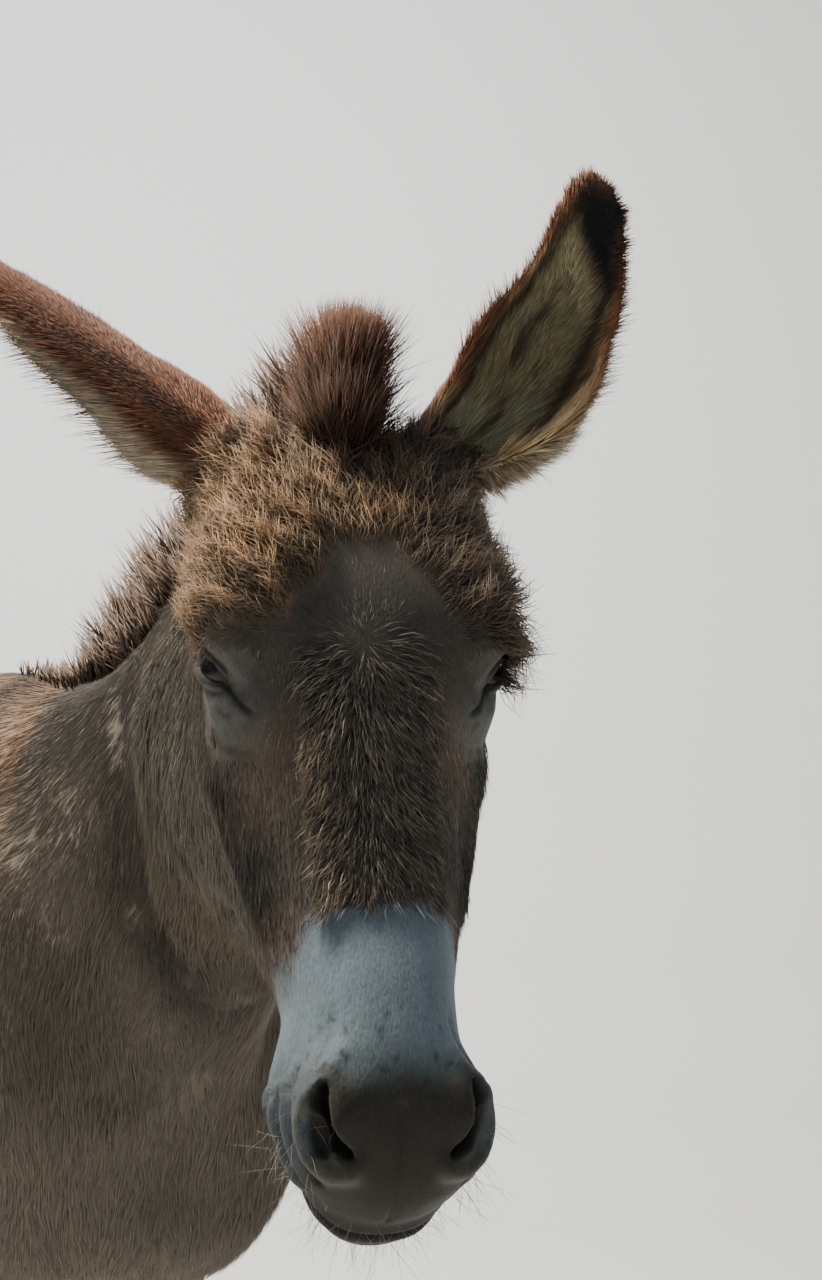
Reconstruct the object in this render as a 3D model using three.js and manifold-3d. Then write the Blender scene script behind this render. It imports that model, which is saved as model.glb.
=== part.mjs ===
// A standing donkey at life size, as a still model made of its named parts.
// Frame: +Z is up, the animal faces -Y and its left side is +X. All sizes are in millimetres,
// and every outline is taken over the tips of the coat.
import * as THREE from "three";
import { mergeVertices } from "three/addons/utils/BufferGeometryUtils.js";
import Module from "manifold-3d";

const wasm = await Module();
wasm.setup();

// ---------------------------------------------------------------- driving dimensions

const WITHERS = 1130; // height of the shoulders
const GAP = 0.3; // clear width of every cut between two parts
const STANCE = 106; // from the midline to the middle of a foot
const HOOF_TOP = 74; // height of the coronet, where hoof and leg meet
const LEG_TOP = 592; // height at which a leg leaves the trunk
const KNEE = 335;
const HOCK = 445;
const FETLOCK = 145;
const HEAD_PITCH = THREE.MathUtils.degToRad(68); // nose below the horizontal
const HEAD_TURN = THREE.MathUtils.degToRad(-23); // nose towards the animal's right
const POLL = new THREE.Vector3(-48, -465, 1258); // top of the head, between the ears
const EYE = new THREE.Vector3(82, -176, -40); // in the head's frame, left side
const EYE_RADIUS = 19;
const EAR_LENGTH = 275;

// The head's own frame: origin at the poll, -Y along the face to the nose, +Z out of the forehead.
const headFrame = new THREE.Matrix4()
  .makeRotationFromEuler(new THREE.Euler(HEAD_PITCH, 0, HEAD_TURN, "ZXY"))
  .setPosition(POLL);
const intoHead = headFrame.clone().invert();
const headPoint = (x, y, z) => new THREE.Vector3(x, y, z).applyMatrix4(headFrame);

// ---------------------------------------------------------------- fields
// A field gives the distance from a point to a surface, negative inside it. The body is a
// sum of such masses, each melting into its neighbours.

const { hypot, abs, max, min, sign } = Math;
const clamp = THREE.MathUtils.clamp;

// A smooth curve through [place, value] pairs, flat beyond its ends.
function profile(...points) {
  const slope = (i) => {
    const a = points[max(i - 1, 0)];
    const b = points[min(i + 1, points.length - 1)];
    return (b[1] - a[1]) / (b[0] - a[0]);
  };
  return (t) => {
    if (t <= points[0][0]) return points[0][1];
    if (t >= points.at(-1)[0]) return points.at(-1)[1];
    const i = points.findIndex((p) => p[0] > t) - 1;
    const [t0, v0] = points[i];
    const [t1, v1] = points[i + 1];
    const span = t1 - t0;
    const u = (t - t0) / span;
    return (
      v0 * (1 + 2 * u) * (1 - u) ** 2 +
      slope(i) * span * u * (1 - u) ** 2 +
      v1 * u * u * (3 - 2 * u) +
      slope(i + 1) * span * u * u * (u - 1)
    );
  };
}

const melt = (k, ...fields) => (x, y, z) => {
  let d = fields[0](x, y, z);
  for (let i = 1; i < fields.length; i++) {
    const e = fields[i](x, y, z);
    const h = max(k - abs(d - e), 0) / k;
    d = min(d, e) - (h * h * k) / 4;
  }
  return d;
};

const egg = (x0, y0, z0, rx, ry, rz) => (x, y, z) => {
  const [a, b, c] = [(x - x0) / rx, (y - y0) / ry, (z - z0) / rz];
  const near = hypot(a, b, c);
  return near < 1e-6 ? -min(rx, ry, rz) : (near * (near - 1)) / hypot(a / rx, b / ry, c / rz);
};

// A tapering limb from one joint to the next; slim narrows it from side to side.
const limb = (from, to, r0, r1, slim = 1) => {
  const [ax, ay, az] = [from[0] / slim, from[1], from[2]];
  const [bx, by, bz] = [to[0] / slim - ax, to[1] - ay, to[2] - az];
  const length2 = bx * bx + by * by + bz * bz;
  return (x, y, z) => {
    const [px, py, pz] = [x / slim - ax, y - ay, z - az];
    const t = clamp((px * bx + py * by + pz * bz) / length2, 0, 1);
    return hypot(px - t * bx, py - t * by, pz - t * bz) - r0 - t * (r1 - r0);
  };
};

const chain = (k, slim, ...joints) =>
  melt(k, ...joints.slice(1).map((b, i) => limb(joints[i], b, joints[i][3], b[3], slim)));

// A body known by its outlines along Y: top and bottom seen from the side, half its width seen
// from above. lean above 0 widens the section upwards, and square rounds it less.
const outlined = ({ from, to, top, bottom, half, lean, square = 2.2 }) => (x, y, z) => {
  const t = clamp(y, from, to);
  const [high, low] = [top(t), bottom(t)];
  const [centre, depth] = [(high + low) / 2, (high - low) / 2];
  const level = clamp((z - centre) / depth, -1.2, 1.2);
  const wide = half(t) * (1 + lean(t) * level);
  const rho = ((abs(x) / wide) ** square + (abs(z - centre) / depth) ** square) ** (1 / square);
  const radius = hypot(x, z - centre);
  const across = rho < 0.2 ? -0.8 * min(wide, depth) : radius * (1 - 1 / rho);
  const beyond = abs(y - t);
  return beyond > 0 ? hypot(max(across, 0), beyond) : across;
};

// ---------------------------------------------------------------- trunk, neck and legs

const barrel = outlined({
  from: -212,
  to: 885,
  top: profile([-212, 850], [-180, 950], [-80, 1062], [30, WITHERS - 8], [150, 1108], [290, 1084],
    [425, 1078], [560, 1098], [655, 1110], [745, 1090], [820, 1034], [862, 962], [885, 880]),
  bottom: profile([-212, 720], [-192, 658], [-140, 620], [-60, 605], [60, 603], [140, 599],
    [290, 580], [420, 576], [520, 590], [580, 606], [655, 640], [745, 690], [840, 750], [885, 820]),
  half: profile([-212, 70], [-192, 118], [-140, 150], [-60, 164], [40, 174], [150, 198],
    [290, 228], [425, 238], [560, 224], [655, 202], [745, 182], [840, 138], [885, 70]),
  lean: profile([-212, 0], [0, -0.18], [150, -0.22], [425, -0.12], [655, -0.05], [885, 0]),
});

const shoulder = (side) =>
  melt(50,
    chain(40, 0.52, [side * 70, 45, 1040, 60], [side * 112, -70, 880, 120], [side * 112, -110, 810, 88]),
    chain(40, 0.7, [side * 112, -110, 800, 84], [side * 120, 40, 690, 82]),
    egg(side * 60, -128, 712, 68, 74, 84));

const haunch = (side) =>
  melt(50,
    chain(50, 0.5, [side * 90, 590, 1030, 70], [side * 110, 698, 930, 172]),
    chain(40, 0.62, [side * 112, 686, 900, 148], [side * 128, 600, 725, 86]),
    chain(40, 0.6, [side * 84, 782, 905, 98], [side * 110, 735, 650, 76]));

// A leg leans by step from its top to its foot, so that the feet stand as a resting animal's do.
const leaning = (step) => (place, z) => place + step * (1 - z / 760);

const foreleg = (side, step) => {
  const y = leaning(step);
  const x = side * STANCE;
  return melt(18,
    chain(18, 0.8, [side * 118, y(42, 690), 690, 86], [x + side * 5, y(14, 540), 540, 60],
      [x, y(2, 400), 400, 41]),
    egg(x, y(-3, KNEE), KNEE, 38, 41, 50),
    chain(14, 0.9, [x, y(-4, 300), 300, 30], [x, y(-2, 220), 220, 26], [x, y(0, FETLOCK), FETLOCK, 29]),
    chain(14, 0.8, [x, y(16, 300), 300, 20], [x, y(15, 220), 220, 17], [x, y(14, 160), 160, 23]),
    egg(x, y(5, FETLOCK), FETLOCK, 31, 38, 31),
    limb([x, y(2, 130), 130], [x, y(-16, HOOF_TOP), HOOF_TOP - 12], 28, 37, 1.02));
};

const hindleg = (side, step) => {
  const y = leaning(step);
  const x = side * STANCE;
  return melt(18,
    chain(20, 0.68, [side * 122, y(625, 700), 700, 98], [side * 112, y(725, 570), 570, 68],
      [x, y(785, 490), 490, 44]),
    egg(x, y(803, HOCK - 12), HOCK - 12, 37, 50, 52),
    chain(12, 0.7, [x, y(783, 560), 560, 16], [x, y(837, HOCK + 30), HOCK + 30, 19],
      [x, y(831, 410), 410, 20]),
    chain(14, 0.85, [x, y(797, 400), 400, 37], [x, y(801, 280), 280, 28], [x, y(803, FETLOCK), FETLOCK, 30]),
    chain(14, 0.8, [x, y(819, 380), 380, 20], [x, y(817, 280), 280, 17], [x, y(817, 160), 160, 23]),
    egg(x, y(808, FETLOCK), FETLOCK, 31, 38, 31),
    limb([x, y(805, 130), 130], [x, y(787, HOOF_TOP), HOOF_TOP - 12], 28, 36, 1.02));
};

const STEPS = { fore_left: 26, fore_right: -24, hind_left: -30, hind_right: 28 };

const NECK_LINE = [[0, 60, 880, 215], [-2, -80, 912, 190], [-14, -200, 966, 146],
  [-32, -312, 1076, 98], [-44, -395, 1150, 80]];
const neck = chain(60, 0.6, ...NECK_LINE);

// ---------------------------------------------------------------- head, in its own frame

const skull = outlined({
  from: -524,
  to: 18,
  top: profile([-524, -84], [-514, -56], [-492, -32], [-455, -14], [-400, -9], [-320, -9],
    [-240, -5], [-180, 4], [-120, 9], [-60, 5], [-20, -8], [18, -50]),
  bottom: profile([-524, -92], [-505, -108], [-470, -120], [-430, -124], [-370, -138], [-300, -168],
    [-240, -204], [-190, -230], [-140, -238], [-90, -224], [-40, -182], [18, -110]),
  half: profile([-524, 22], [-510, 44], [-485, 55], [-440, 52], [-400, 53], [-360, 61], [-320, 71],
    [-280, 82], [-240, 90], [-200, 97], [-150, 100], [-100, 97], [-60, 88], [-20, 70], [18, 38]),
  lean: profile([-524, 0.1], [-440, -0.05], [-360, -0.14], [-280, -0.1], [-200, 0.04], [-60, 0.06], [18, 0]),
  square: 2.5,
});

const face = (side) =>
  melt(30,
    egg(side * 80, -128, -18, 36, 42, 27), // brow
    egg(side * 56, -162, -162, 50, 116, 82), // cheek
    limb([side * 90, -210, -82], [side * 64, -330, -76], 15, 8), // cheekbone
    egg(side * EYE.x, EYE.y, EYE.z, 24, 34, 25), // lids
    egg(side * 52, -78, -28, 46, 66, 38), // temple
    egg(side * 42, -466, -52, 23, 38, 37), // wing of the nostril
    egg(side * 48, -440, -98, 22, 36, 28), // corner of the mouth
    limb([side * 62, -26, -54], [side * 64, -10, -40], 40, 32)); // root of the ear

const headField = melt(16,
  skull,
  (x, y, z) => face(x < 0 ? -1 : 1)(x, y, z),
  egg(0, -492, -78, 50, 34, 40), // upper lip
  egg(0, -490, -122, 38, 38, 24)); // lower lip and chin

const headPlace = new THREE.Vector3();
const head = (x, y, z) => {
  headPlace.set(x, y, z).applyMatrix4(intoHead);
  return headField(headPlace.x, headPlace.y, headPlace.z);
};

// ---------------------------------------------------------------- the whole body

const tail = chain(16, 1, [0, 832, 1050, 34], [0, 884, 1032, 33], [0, 920, 960, 27], [0, 931, 800, 20],
  [0, 928, 660, 25], [0, 925, 540, 33], [0, 923, 470, 28], [0, 921, 410, 11]);

const body = melt(40,
  melt(60, melt(45, barrel, shoulder(1), shoulder(-1)), neck),
  haunch(1), haunch(-1),
  foreleg(1, STEPS.fore_left), foreleg(-1, STEPS.fore_right),
  hindleg(1, STEPS.hind_left), hindleg(-1, STEPS.hind_right));
const flesh = melt(34, body, head);

// ---------------------------------------------------------------- solids

// Grid lines along one axis: from the first place to each next one, in steps of at most a size.
function ticks(from, ...spans) {
  const lines = [from];
  for (const [to, step] of spans) {
    const start = lines.at(-1);
    const n = Math.ceil((to - start) / step);
    for (let i = 1; i <= n; i++) lines.push(start + ((to - start) * i) / n);
  }
  return lines;
}

// Dual contouring of a field on the grid lines of three axes, in the frame of a matrix: one corner
// for each cell that the surface crosses, moved onto it, and one square for each line that it cuts.
function wrap(field, lines, frame = new THREE.Matrix4()) {
  const [nx, ny, nz] = lines.map((axis) => axis.length);
  const at = (i, j, k) => i + nx * (j + ny * k);
  const p = new THREE.Vector3();
  const value = (x, y, z) => field(...p.set(x, y, z).applyMatrix4(frame).toArray());
  const grid = new Float32Array(nx * ny * nz).fill(1);
  for (let k = 1; k < nz - 1; k++)
    for (let j = 1; j < ny - 1; j++)
      for (let i = 1; i < nx - 1; i++)
        grid[at(i, j, k)] = value(lines[0][i], lines[1][j], lines[2][k]);

  // The twelve edges of a cell, each by its axis and its offsets along the next two axes, and the
  // ring of four corners round each of its six sides.
  const shifted = (cell, axis, u, v, w = 0) => {
    const place = [...cell];
    place[axis] += w;
    place[(axis + 1) % 3] += u;
    place[(axis + 2) % 3] += v;
    return place;
  };
  const RING = [[0, 0], [1, 0], [1, 1], [0, 1]];
  const edgeOf = (a, b) => {
    const axis = [0, 1, 2].find((n) => a[n] !== b[n]);
    return axis * 4 + a[(axis + 1) % 3] * 2 + a[(axis + 2) % 3];
  };
  const SIDES = [0, 1, 2].flatMap((axis) =>
    [0, 1].map((w) => RING.map(([u, v]) => shifted([0, 0, 0], axis, u, v, w))));

  // Edges cut by one sheet of the surface share a corner; two sheets in a cell get one each.
  const sheets = (cell) => {
    const inside = (c) => grid[at(cell[0] + c[0], cell[1] + c[1], cell[2] + c[2])] < 0;
    const sheet = Array.from({ length: 12 }, (_, n) => n);
    const join = (a, b) => {
      const [old, kept] = [sheet[a], sheet[b]];
      sheet.forEach((value, n) => value === old && (sheet[n] = kept));
    };
    for (const side of SIDES) {
      const cut = [0, 1, 2, 3].filter((n) => inside(side[n]) !== inside(side[(n + 1) % 4]));
      const edge = (n) => edgeOf(side[(n + 4) % 4], side[(n + 1) % 4]);
      if (cut.length === 2) join(edge(cut[0]), edge(cut[1]));
      if (cut.length === 4) side.forEach((c, n) => inside(c) && join(edge(n - 1), edge(n)));
    }
    return sheet;
  };

  const corners = [];
  const made = new Map();
  const onSurface = (q, cell) => {
    const h = 0.5;
    const size = cell.map((i, n) => lines[n][i + 1] - lines[n][i]);
    for (let round = 0; round < 3; round++) {
      const d = value(...q);
      const g = [0, 1, 2].map((n) => (value(...q.map((v, m) => v + (m === n ? h : 0))) - d) / h);
      const g2 = g[0] ** 2 + g[1] ** 2 + g[2] ** 2 || 1;
      q = q.map((v, n) => v - clamp((d * g[n]) / g2, -0.35 * size[n], 0.35 * size[n]));
    }
    return q;
  };
  const corner = (cell, axis, u, v) => {
    const id = at(...cell);
    if (!made.has(id)) {
      const sheet = sheets(cell);
      const found = new Map();
      for (let a = 0; a < 3; a++)
        for (const [s, t] of RING) {
          const from = shifted(cell, a, s, t);
          const [f0, f1] = [grid[at(...from)], grid[at(...shifted(cell, a, s, t, 1))]];
          if (f0 < 0 === f1 < 0) continue;
          from[a] += f0 / (f0 - f1);
          const key = sheet[a * 4 + s * 2 + t];
          found.set(key, [...(found.get(key) ?? []), from]);
        }
      const places = new Map();
      for (const [key, cuts] of found) {
        const mean = (n) => cuts.reduce((sum, c) => sum + c[n], 0) / cuts.length;
        const place = (n) => {
          const t = mean(n) - cell[n];
          return lines[n][cell[n]] * (1 - t) + lines[n][cell[n] + 1] * t;
        };
        corners.push(...onSurface([0, 1, 2].map(place), cell));
        places.set(key, corners.length / 3 - 1);
      }
      made.set(id, { sheet, places });
    }
    const { sheet, places } = made.get(id);
    return places.get(sheet[axis * 4 + u * 2 + v]);
  };

  const faces = [];
  for (let k = 0; k < nz - 1; k++)
    for (let j = 0; j < ny - 1; j++)
      for (let i = 0; i < nx - 1; i++)
        for (let axis = 0; axis < 3; axis++) {
          const b = [i, j, k];
          b[axis] += 1;
          const inside = grid[at(i, j, k)] < 0;
          if (inside === grid[at(...b)] < 0) continue;
          const around = RING.map(([u, v]) => corner(shifted([i, j, k], axis, -u, -v), axis, u, v));
          const [q0, q1, q2, q3] = inside ? around : around.reverse();
          if ((i + j + k) % 2) faces.push(q0, q1, q2, q0, q2, q3);
          else faces.push(q1, q2, q3, q1, q3, q0);
        }
  const geometry = new THREE.BufferGeometry();
  geometry.setAttribute("position", new THREE.Float32BufferAttribute(corners, 3));
  geometry.setIndex(faces);
  return geometry.applyMatrix4(frame);
}

function solid(geometry) {
  const bare = geometry.clone();
  bare.deleteAttribute("normal");
  bare.deleteAttribute("uv");
  const merged = mergeVertices(bare, 1e-3);
  return new wasm.Manifold(new wasm.Mesh({
    numProp: 3,
    vertProperties: merged.attributes.position.array,
    triVerts: new Uint32Array(merged.index.array),
  }));
}

const block = (low, high, frame = new THREE.Matrix4()) => {
  const [sx, sy, sz] = [0, 1, 2].map((n) => high[n] - low[n]);
  return solid(new THREE.BoxGeometry(sx, sy, sz)
    .translate(low[0] + sx / 2, low[1] + sy / 2, low[2] + sz / 2)
    .applyMatrix4(frame));
};

// Cuts a shape by its neighbours, and once more with each moved along a way, to leave a gap.
const clearOf = (shape, neighbours, way) =>
  neighbours.reduce((rest, other) => rest.subtract(other).subtract(other.translate(way)), shape);

// ---------------------------------------------------------------- ears, mane, hooves

// An ear is a leaf rolled about its own axis: at each height its section is an arc that is open
// towards the front, nearly closed at the root and nearly flat at the tip.
const EAR = {
  half: profile([0, 22], [0.1, 34], [0.25, 46], [0.4, 51], [0.55, 49], [0.7, 41], [0.85, 28],
    [0.95, 15], [1, 5]),
  depth: profile([0, 22], [0.15, 34], [0.4, 36], [0.7, 24], [1, 4]),
  roll: profile([0, 2.6], [0.2, 2.1], [0.4, 1.75], [0.7, 1.45], [1, 1.2]),
  thick: profile([0, 13], [0.5, 11], [1, 6]),
};
const EAR_RINGS = 9;
const EAR_ARC = 6;

function ear(root, axis, opening, bow, sway) {
  const up = new THREE.Vector3(...axis).normalize();
  const front = new THREE.Vector3(...opening).addScaledVector(up, -up.dot(new THREE.Vector3(...opening)));
  front.normalize();
  const across = new THREE.Vector3().crossVectors(up, front);
  const corners = [];
  for (let i = 0; i <= EAR_RINGS; i++) {
    const t = i / EAR_RINGS;
    const centre = new THREE.Vector3(...root)
      .addScaledVector(up, EAR_LENGTH * t)
      .addScaledVector(front, bow * 4 * t * (1 - t))
      .addScaledVector(across, sway * 4 * t * (1 - t));
    const place = (angle, inset) => centre.clone()
      .addScaledVector(across, (EAR.half(t) - inset) * Math.sin(angle))
      .addScaledVector(front, (inset - EAR.depth(t)) * Math.cos(angle));
    const arc = Array.from({ length: EAR_ARC + 1 }, (_, j) => (2 * j / EAR_ARC - 1) * EAR.roll(t));
    const thick = (angle) => EAR.thick(t) * (0.6 + 0.4 * Math.cos(angle / EAR.roll(t) * Math.PI / 2));
    corners.push(...arc.map((angle) => place(angle, 0)));
    corners.push(...arc.reverse().map((angle) => place(angle, thick(angle))));
  }
  const ring = 2 * (EAR_ARC + 1);
  const faces = [];
  const square = (a, b, c, d) => faces.push(a, c, b, a, d, c);
  for (let i = 0; i < EAR_RINGS; i++)
    for (let j = 0; j < ring; j++) {
      const [low, high, next] = [i * ring, (i + 1) * ring, (j + 1) % ring];
      square(low + j, low + next, high + next, high + j);
    }
  for (let j = 0; j < EAR_ARC; j++) {
    const [outer, inner] = [j, ring - 1 - j];
    square(outer + 1, outer, inner, inner - 1);
    const last = EAR_RINGS * ring;
    square(last + outer, last + outer + 1, last + inner - 1, last + inner);
  }
  const geometry = new THREE.BufferGeometry().setFromPoints(corners);
  geometry.setIndex(faces);
  return geometry.applyMatrix4(headFrame);
}

const crest = NECK_LINE.map(([x, y, z, r]) => [x, y + 0.5 * r, z + 0.86 * r + 14, 40]);
const mane = chain(20, 0.5, ...crest.slice(1), [-46, -424, 1290, 34]);
const forelockRoot = headPoint(0, 4, -16);
const forelock = chain(16, 0.95, [...forelockRoot, 36],
  [forelockRoot.x + 4, forelockRoot.y + 2, forelockRoot.z + 44, 35],
  [forelockRoot.x + 6, forelockRoot.y + 8, forelockRoot.z + 72, 25]);

const HOOF = { toe: 15, foot: [45, 56], coronet: [37, 43], sides: 16 };

function hoof(side, y) {
  const rings = [[0, 1, HOOF.foot], [HOOF_TOP - GAP / 2, 0, HOOF.coronet]].map(([z, low, [rx, ry]]) =>
    Array.from({ length: HOOF.sides }, (_, n) => {
      const angle = (n / HOOF.sides) * 2 * Math.PI;
      return [side * STANCE + rx * Math.cos(angle), y - low * HOOF.toe + ry * Math.sin(angle), z];
    }));
  const corners = [...rings.flat(), [side * STANCE, y, 0], [side * STANCE, y, HOOF_TOP - GAP / 2]];
  const n = HOOF.sides;
  const faces = [];
  for (let i = 0; i < n; i++) {
    const next = (i + 1) % n;
    faces.push(i, next, n + next, i, n + next, n + i, next, i, 2 * n, n + i, n + next, 2 * n + 1);
  }
  const geometry = new THREE.BufferGeometry();
  geometry.setAttribute("position", new THREE.Float32BufferAttribute(corners.flat(), 3));
  geometry.setIndex(faces);
  return solid(geometry);
}

// ---------------------------------------------------------------- the parts, cut from the whole

const donkey = new THREE.Group();
const finish = (color, roughness = 0.9) => new THREE.MeshStandardMaterial({ color, roughness, metalness: 0 });
const MATERIALS = {
  coat: finish(0x6f6156),
  mane: finish(0x4a3022),
  ear: finish(0x7c5236),
  hoof: finish(0x3a3633, 0.6),
  eye: finish(0x1c120c, 0.1),
};

function add(name, shape, material) {
  const mesh = shape.getMesh();
  const geometry = new THREE.BufferGeometry();
  geometry.setAttribute("position", new THREE.Float32BufferAttribute(mesh.vertProperties, 3));
  geometry.setIndex([...mesh.triVerts]);
  const part = new THREE.Mesh(geometry, MATERIALS[material]);
  part.name = name;
  donkey.add(part);
}

// A cut's frame has its origin in the cut and +Z across it.
const facing = (origin, towards) =>
  new THREE.Matrix4()
    .makeRotationFromQuaternion(new THREE.Quaternion().setFromUnitVectors(
      new THREE.Vector3(0, 0, 1), new THREE.Vector3(...towards).normalize()))
    .setPosition(...origin);
const beyond = (frame, start, size = 900) => block([-size, -size, start], [size, size, start + 900], frame);

const neckRoot = facing([0, -125, 950], [0, -0.86, 0.5]);
const nape = facing([-36, -330, 1140], [-0.25, -0.84, -0.47]);
const throat = facing([-36, -290, 1040], [-0.2, -0.97, 0.1]);
const headSide = (start) => beyond(nape, start).intersect(beyond(throat, start));

const BODY_GRID = [
  ticks(-290, [290, 50]),
  ticks(-436, [-60, 50], [540, 84], [930, 52]),
  ticks(480, [780, 60], [1300, 50]),
];
const HEAD_GRID = [
  ticks(-160, [160, 22.8]),
  ticks(-562, [-410, 21.7], [-230, 45], [-104, 21], [60, 33]),
  ticks(-450, [-130, 64], [60, 21]),
];
const bodyWrap = (field) => solid(wrap(field, BODY_GRID));
const headWrap = (field) => solid(wrap(field, HEAD_GRID, headFrame));
const wholeBody = bodyWrap(flesh);
const wholeHead = headWrap(flesh);

add("neck", wholeBody.intersect(beyond(neckRoot, GAP / 2)).subtract(headSide(-GAP / 2)), "coat");

// An egg carved into the head: its radii run out of the skin, along the opening and across it.
const carver = (centre, radii, out = [1, 0, 0], along = [0, 1, 0], sides = 12, rows = 8) => {
  const x = new THREE.Vector3(...out).normalize();
  const z = x.clone().cross(new THREE.Vector3(...along)).normalize();
  const y = z.clone().cross(x);
  return solid(new THREE.SphereGeometry(1, sides, rows)
    .scale(...radii)
    .applyMatrix4(new THREE.Matrix4().makeBasis(x, y, z))
    .translate(...centre)
    .applyMatrix4(headFrame));
};
const ball = (side, radius) => carver([side * EYE.x, EYE.y, EYE.z], [radius, radius, radius]);
const lids = (side) =>
  carver([side * 100, -179, -28], [13, 22, 10], [side * 0.8, 0.05, 0.6], [side * -0.3, -0.95, 0], 10, 6);
const nostril = (side) =>
  carver([side * 54, -482, -36], [16, 24, 8], [side * 0.75, -0.5, 0.4], [side * -0.25, -0.87, -0.42], 10, 6);
const mouth = carver([0, -474, -108], [70, 62, 2.4], [1, 0, 0], [0, 0.97, 0.25], 14, 6);
add("head", wholeHead
  .intersect(headSide(GAP / 2))
  .subtract(lids(1).add(lids(-1)))
  .subtract(nostril(1).add(nostril(-1)))
  .subtract(mouth)
  .subtract(ball(1, EYE_RADIUS + GAP).add(ball(-1, EYE_RADIUS + GAP))), "coat");
for (const [name, side] of [["eye_left", 1], ["eye_right", -1]]) add(name, ball(side, EYE_RADIUS), "eye");

const legs = block([-400, -400, 0], [400, 112, LEG_TOP + GAP / 2])
  .add(block([-400, 553, 0], [400, 880, LEG_TOP + GAP / 2]));
add("trunk", wholeBody.subtract(beyond(neckRoot, -GAP / 2)).subtract(legs), "coat");

const LEGS = [
  ["foreleg_left", 1, foreleg, STEPS.fore_left, KNEE + 52, -16],
  ["foreleg_right", -1, foreleg, STEPS.fore_right, KNEE + 52, -16],
  ["hindleg_left", 1, hindleg, STEPS.hind_left, HOCK + 60, 787],
  ["hindleg_right", -1, hindleg, STEPS.hind_right, HOCK + 60, 787],
];
for (const [name, side, , step, middle, foot] of LEGS) {
  const [near, far] = foot < 400 ? [-160, 150] : [540, 930];
  const grid = [
    ticks(side * 120 - 90, [side * 120 + 90, 26]),
    ticks(near, [far, 31]),
    ticks(40, [180, 40], [300, 80], [520, 44], [700, 70]),
  ];
  const leg = solid(wrap(body, grid));
  const span = (from, to) => block([-400, -400, from], [400, 1300, to]);
  add(name + "_upper", leg.intersect(span(middle + GAP / 2, LEG_TOP - GAP / 2)), "coat");
  add(name + "_lower", leg.intersect(span(HOOF_TOP + GAP / 2, middle - GAP / 2)), "coat");
  add(name + "_hoof", hoof(side, leaning(step)(foot, HOOF_TOP)), "hoof");
}

const TAIL_GRID = [ticks(-60, [60, 22]), ticks(795, [995, 24]), ticks(380, [900, 60], [1120, 30])];
const tailWhole = clearOf(solid(wrap(tail, TAIL_GRID)), [wholeBody], [0, 2 * GAP, GAP]);
const TUFT_TOP = 700;
add("tail", tailWhole.intersect(block([-200, 800, TUFT_TOP + GAP / 2], [200, 1200, 1200])), "coat");
add("tail_tuft", tailWhole.intersect(block([-200, 800, 300], [200, 1200, TUFT_TOP - GAP / 2])), "mane");

const ears = {
  ear_left: ear([62, -22, -36], [0.53, 0.78, 0.34], [-0.26, -0.42, 0.87], 10, 9),
  ear_right: ear([-62, -22, -36], [-0.75, 0.66, 0.02], [0.16, -0.05, -0.95], 6, 0),
};
for (const [name, shape] of Object.entries(ears))
  add(name, clearOf(solid(shape), [wholeHead, wholeBody], [0, 0, 2 * GAP]), "ear");

const maneWrap = solid(wrap(mane, [ticks(-120, [80, 28]), ticks(-500, [160, 60]), ticks(1000, [1360, 38])]));
const FORELOCK_GRID = [ticks(-110, [20, 24]), ticks(-540, [-390, 24]), ticks(1200, [1400, 26])];
const UP = [0, 0, 2 * GAP];
const forelockPart = clearOf(solid(wrap(forelock, FORELOCK_GRID)), [wholeHead, wholeBody], UP);
add("forelock", forelockPart, "mane");
add("mane", clearOf(clearOf(maneWrap, [wholeHead, wholeBody], UP), [forelockPart], [0, 2 * GAP, 0]), "mane");

// The origin is put on the floor, under the middle of the whole animal.
const box = new THREE.Box3().setFromObject(donkey);
const [midX, midY] = [(box.min.x + box.max.x) / 2, (box.min.y + box.max.y) / 2];
donkey.children.forEach((part) => part.geometry.translate(-midX, -midY, -box.min.z));

export default donkey;
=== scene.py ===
import math

import bpy
import numpy as np
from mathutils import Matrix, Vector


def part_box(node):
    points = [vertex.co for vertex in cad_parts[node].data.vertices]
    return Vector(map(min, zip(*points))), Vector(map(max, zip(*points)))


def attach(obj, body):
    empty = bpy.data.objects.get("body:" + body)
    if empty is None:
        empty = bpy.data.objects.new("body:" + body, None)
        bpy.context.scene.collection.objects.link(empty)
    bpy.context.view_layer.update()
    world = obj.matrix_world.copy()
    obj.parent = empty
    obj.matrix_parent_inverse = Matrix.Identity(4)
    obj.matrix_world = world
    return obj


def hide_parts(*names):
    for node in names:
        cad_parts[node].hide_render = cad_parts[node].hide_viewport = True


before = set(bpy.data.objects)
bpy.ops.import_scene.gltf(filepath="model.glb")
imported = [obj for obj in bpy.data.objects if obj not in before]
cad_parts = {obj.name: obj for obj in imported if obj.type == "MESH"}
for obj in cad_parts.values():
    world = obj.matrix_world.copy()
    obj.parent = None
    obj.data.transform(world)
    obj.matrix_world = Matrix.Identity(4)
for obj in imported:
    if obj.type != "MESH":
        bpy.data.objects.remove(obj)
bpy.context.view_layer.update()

import openvdb
from mathutils import Vector
from mathutils.bvhtree import BVHTree

scene = bpy.context.scene

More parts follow.
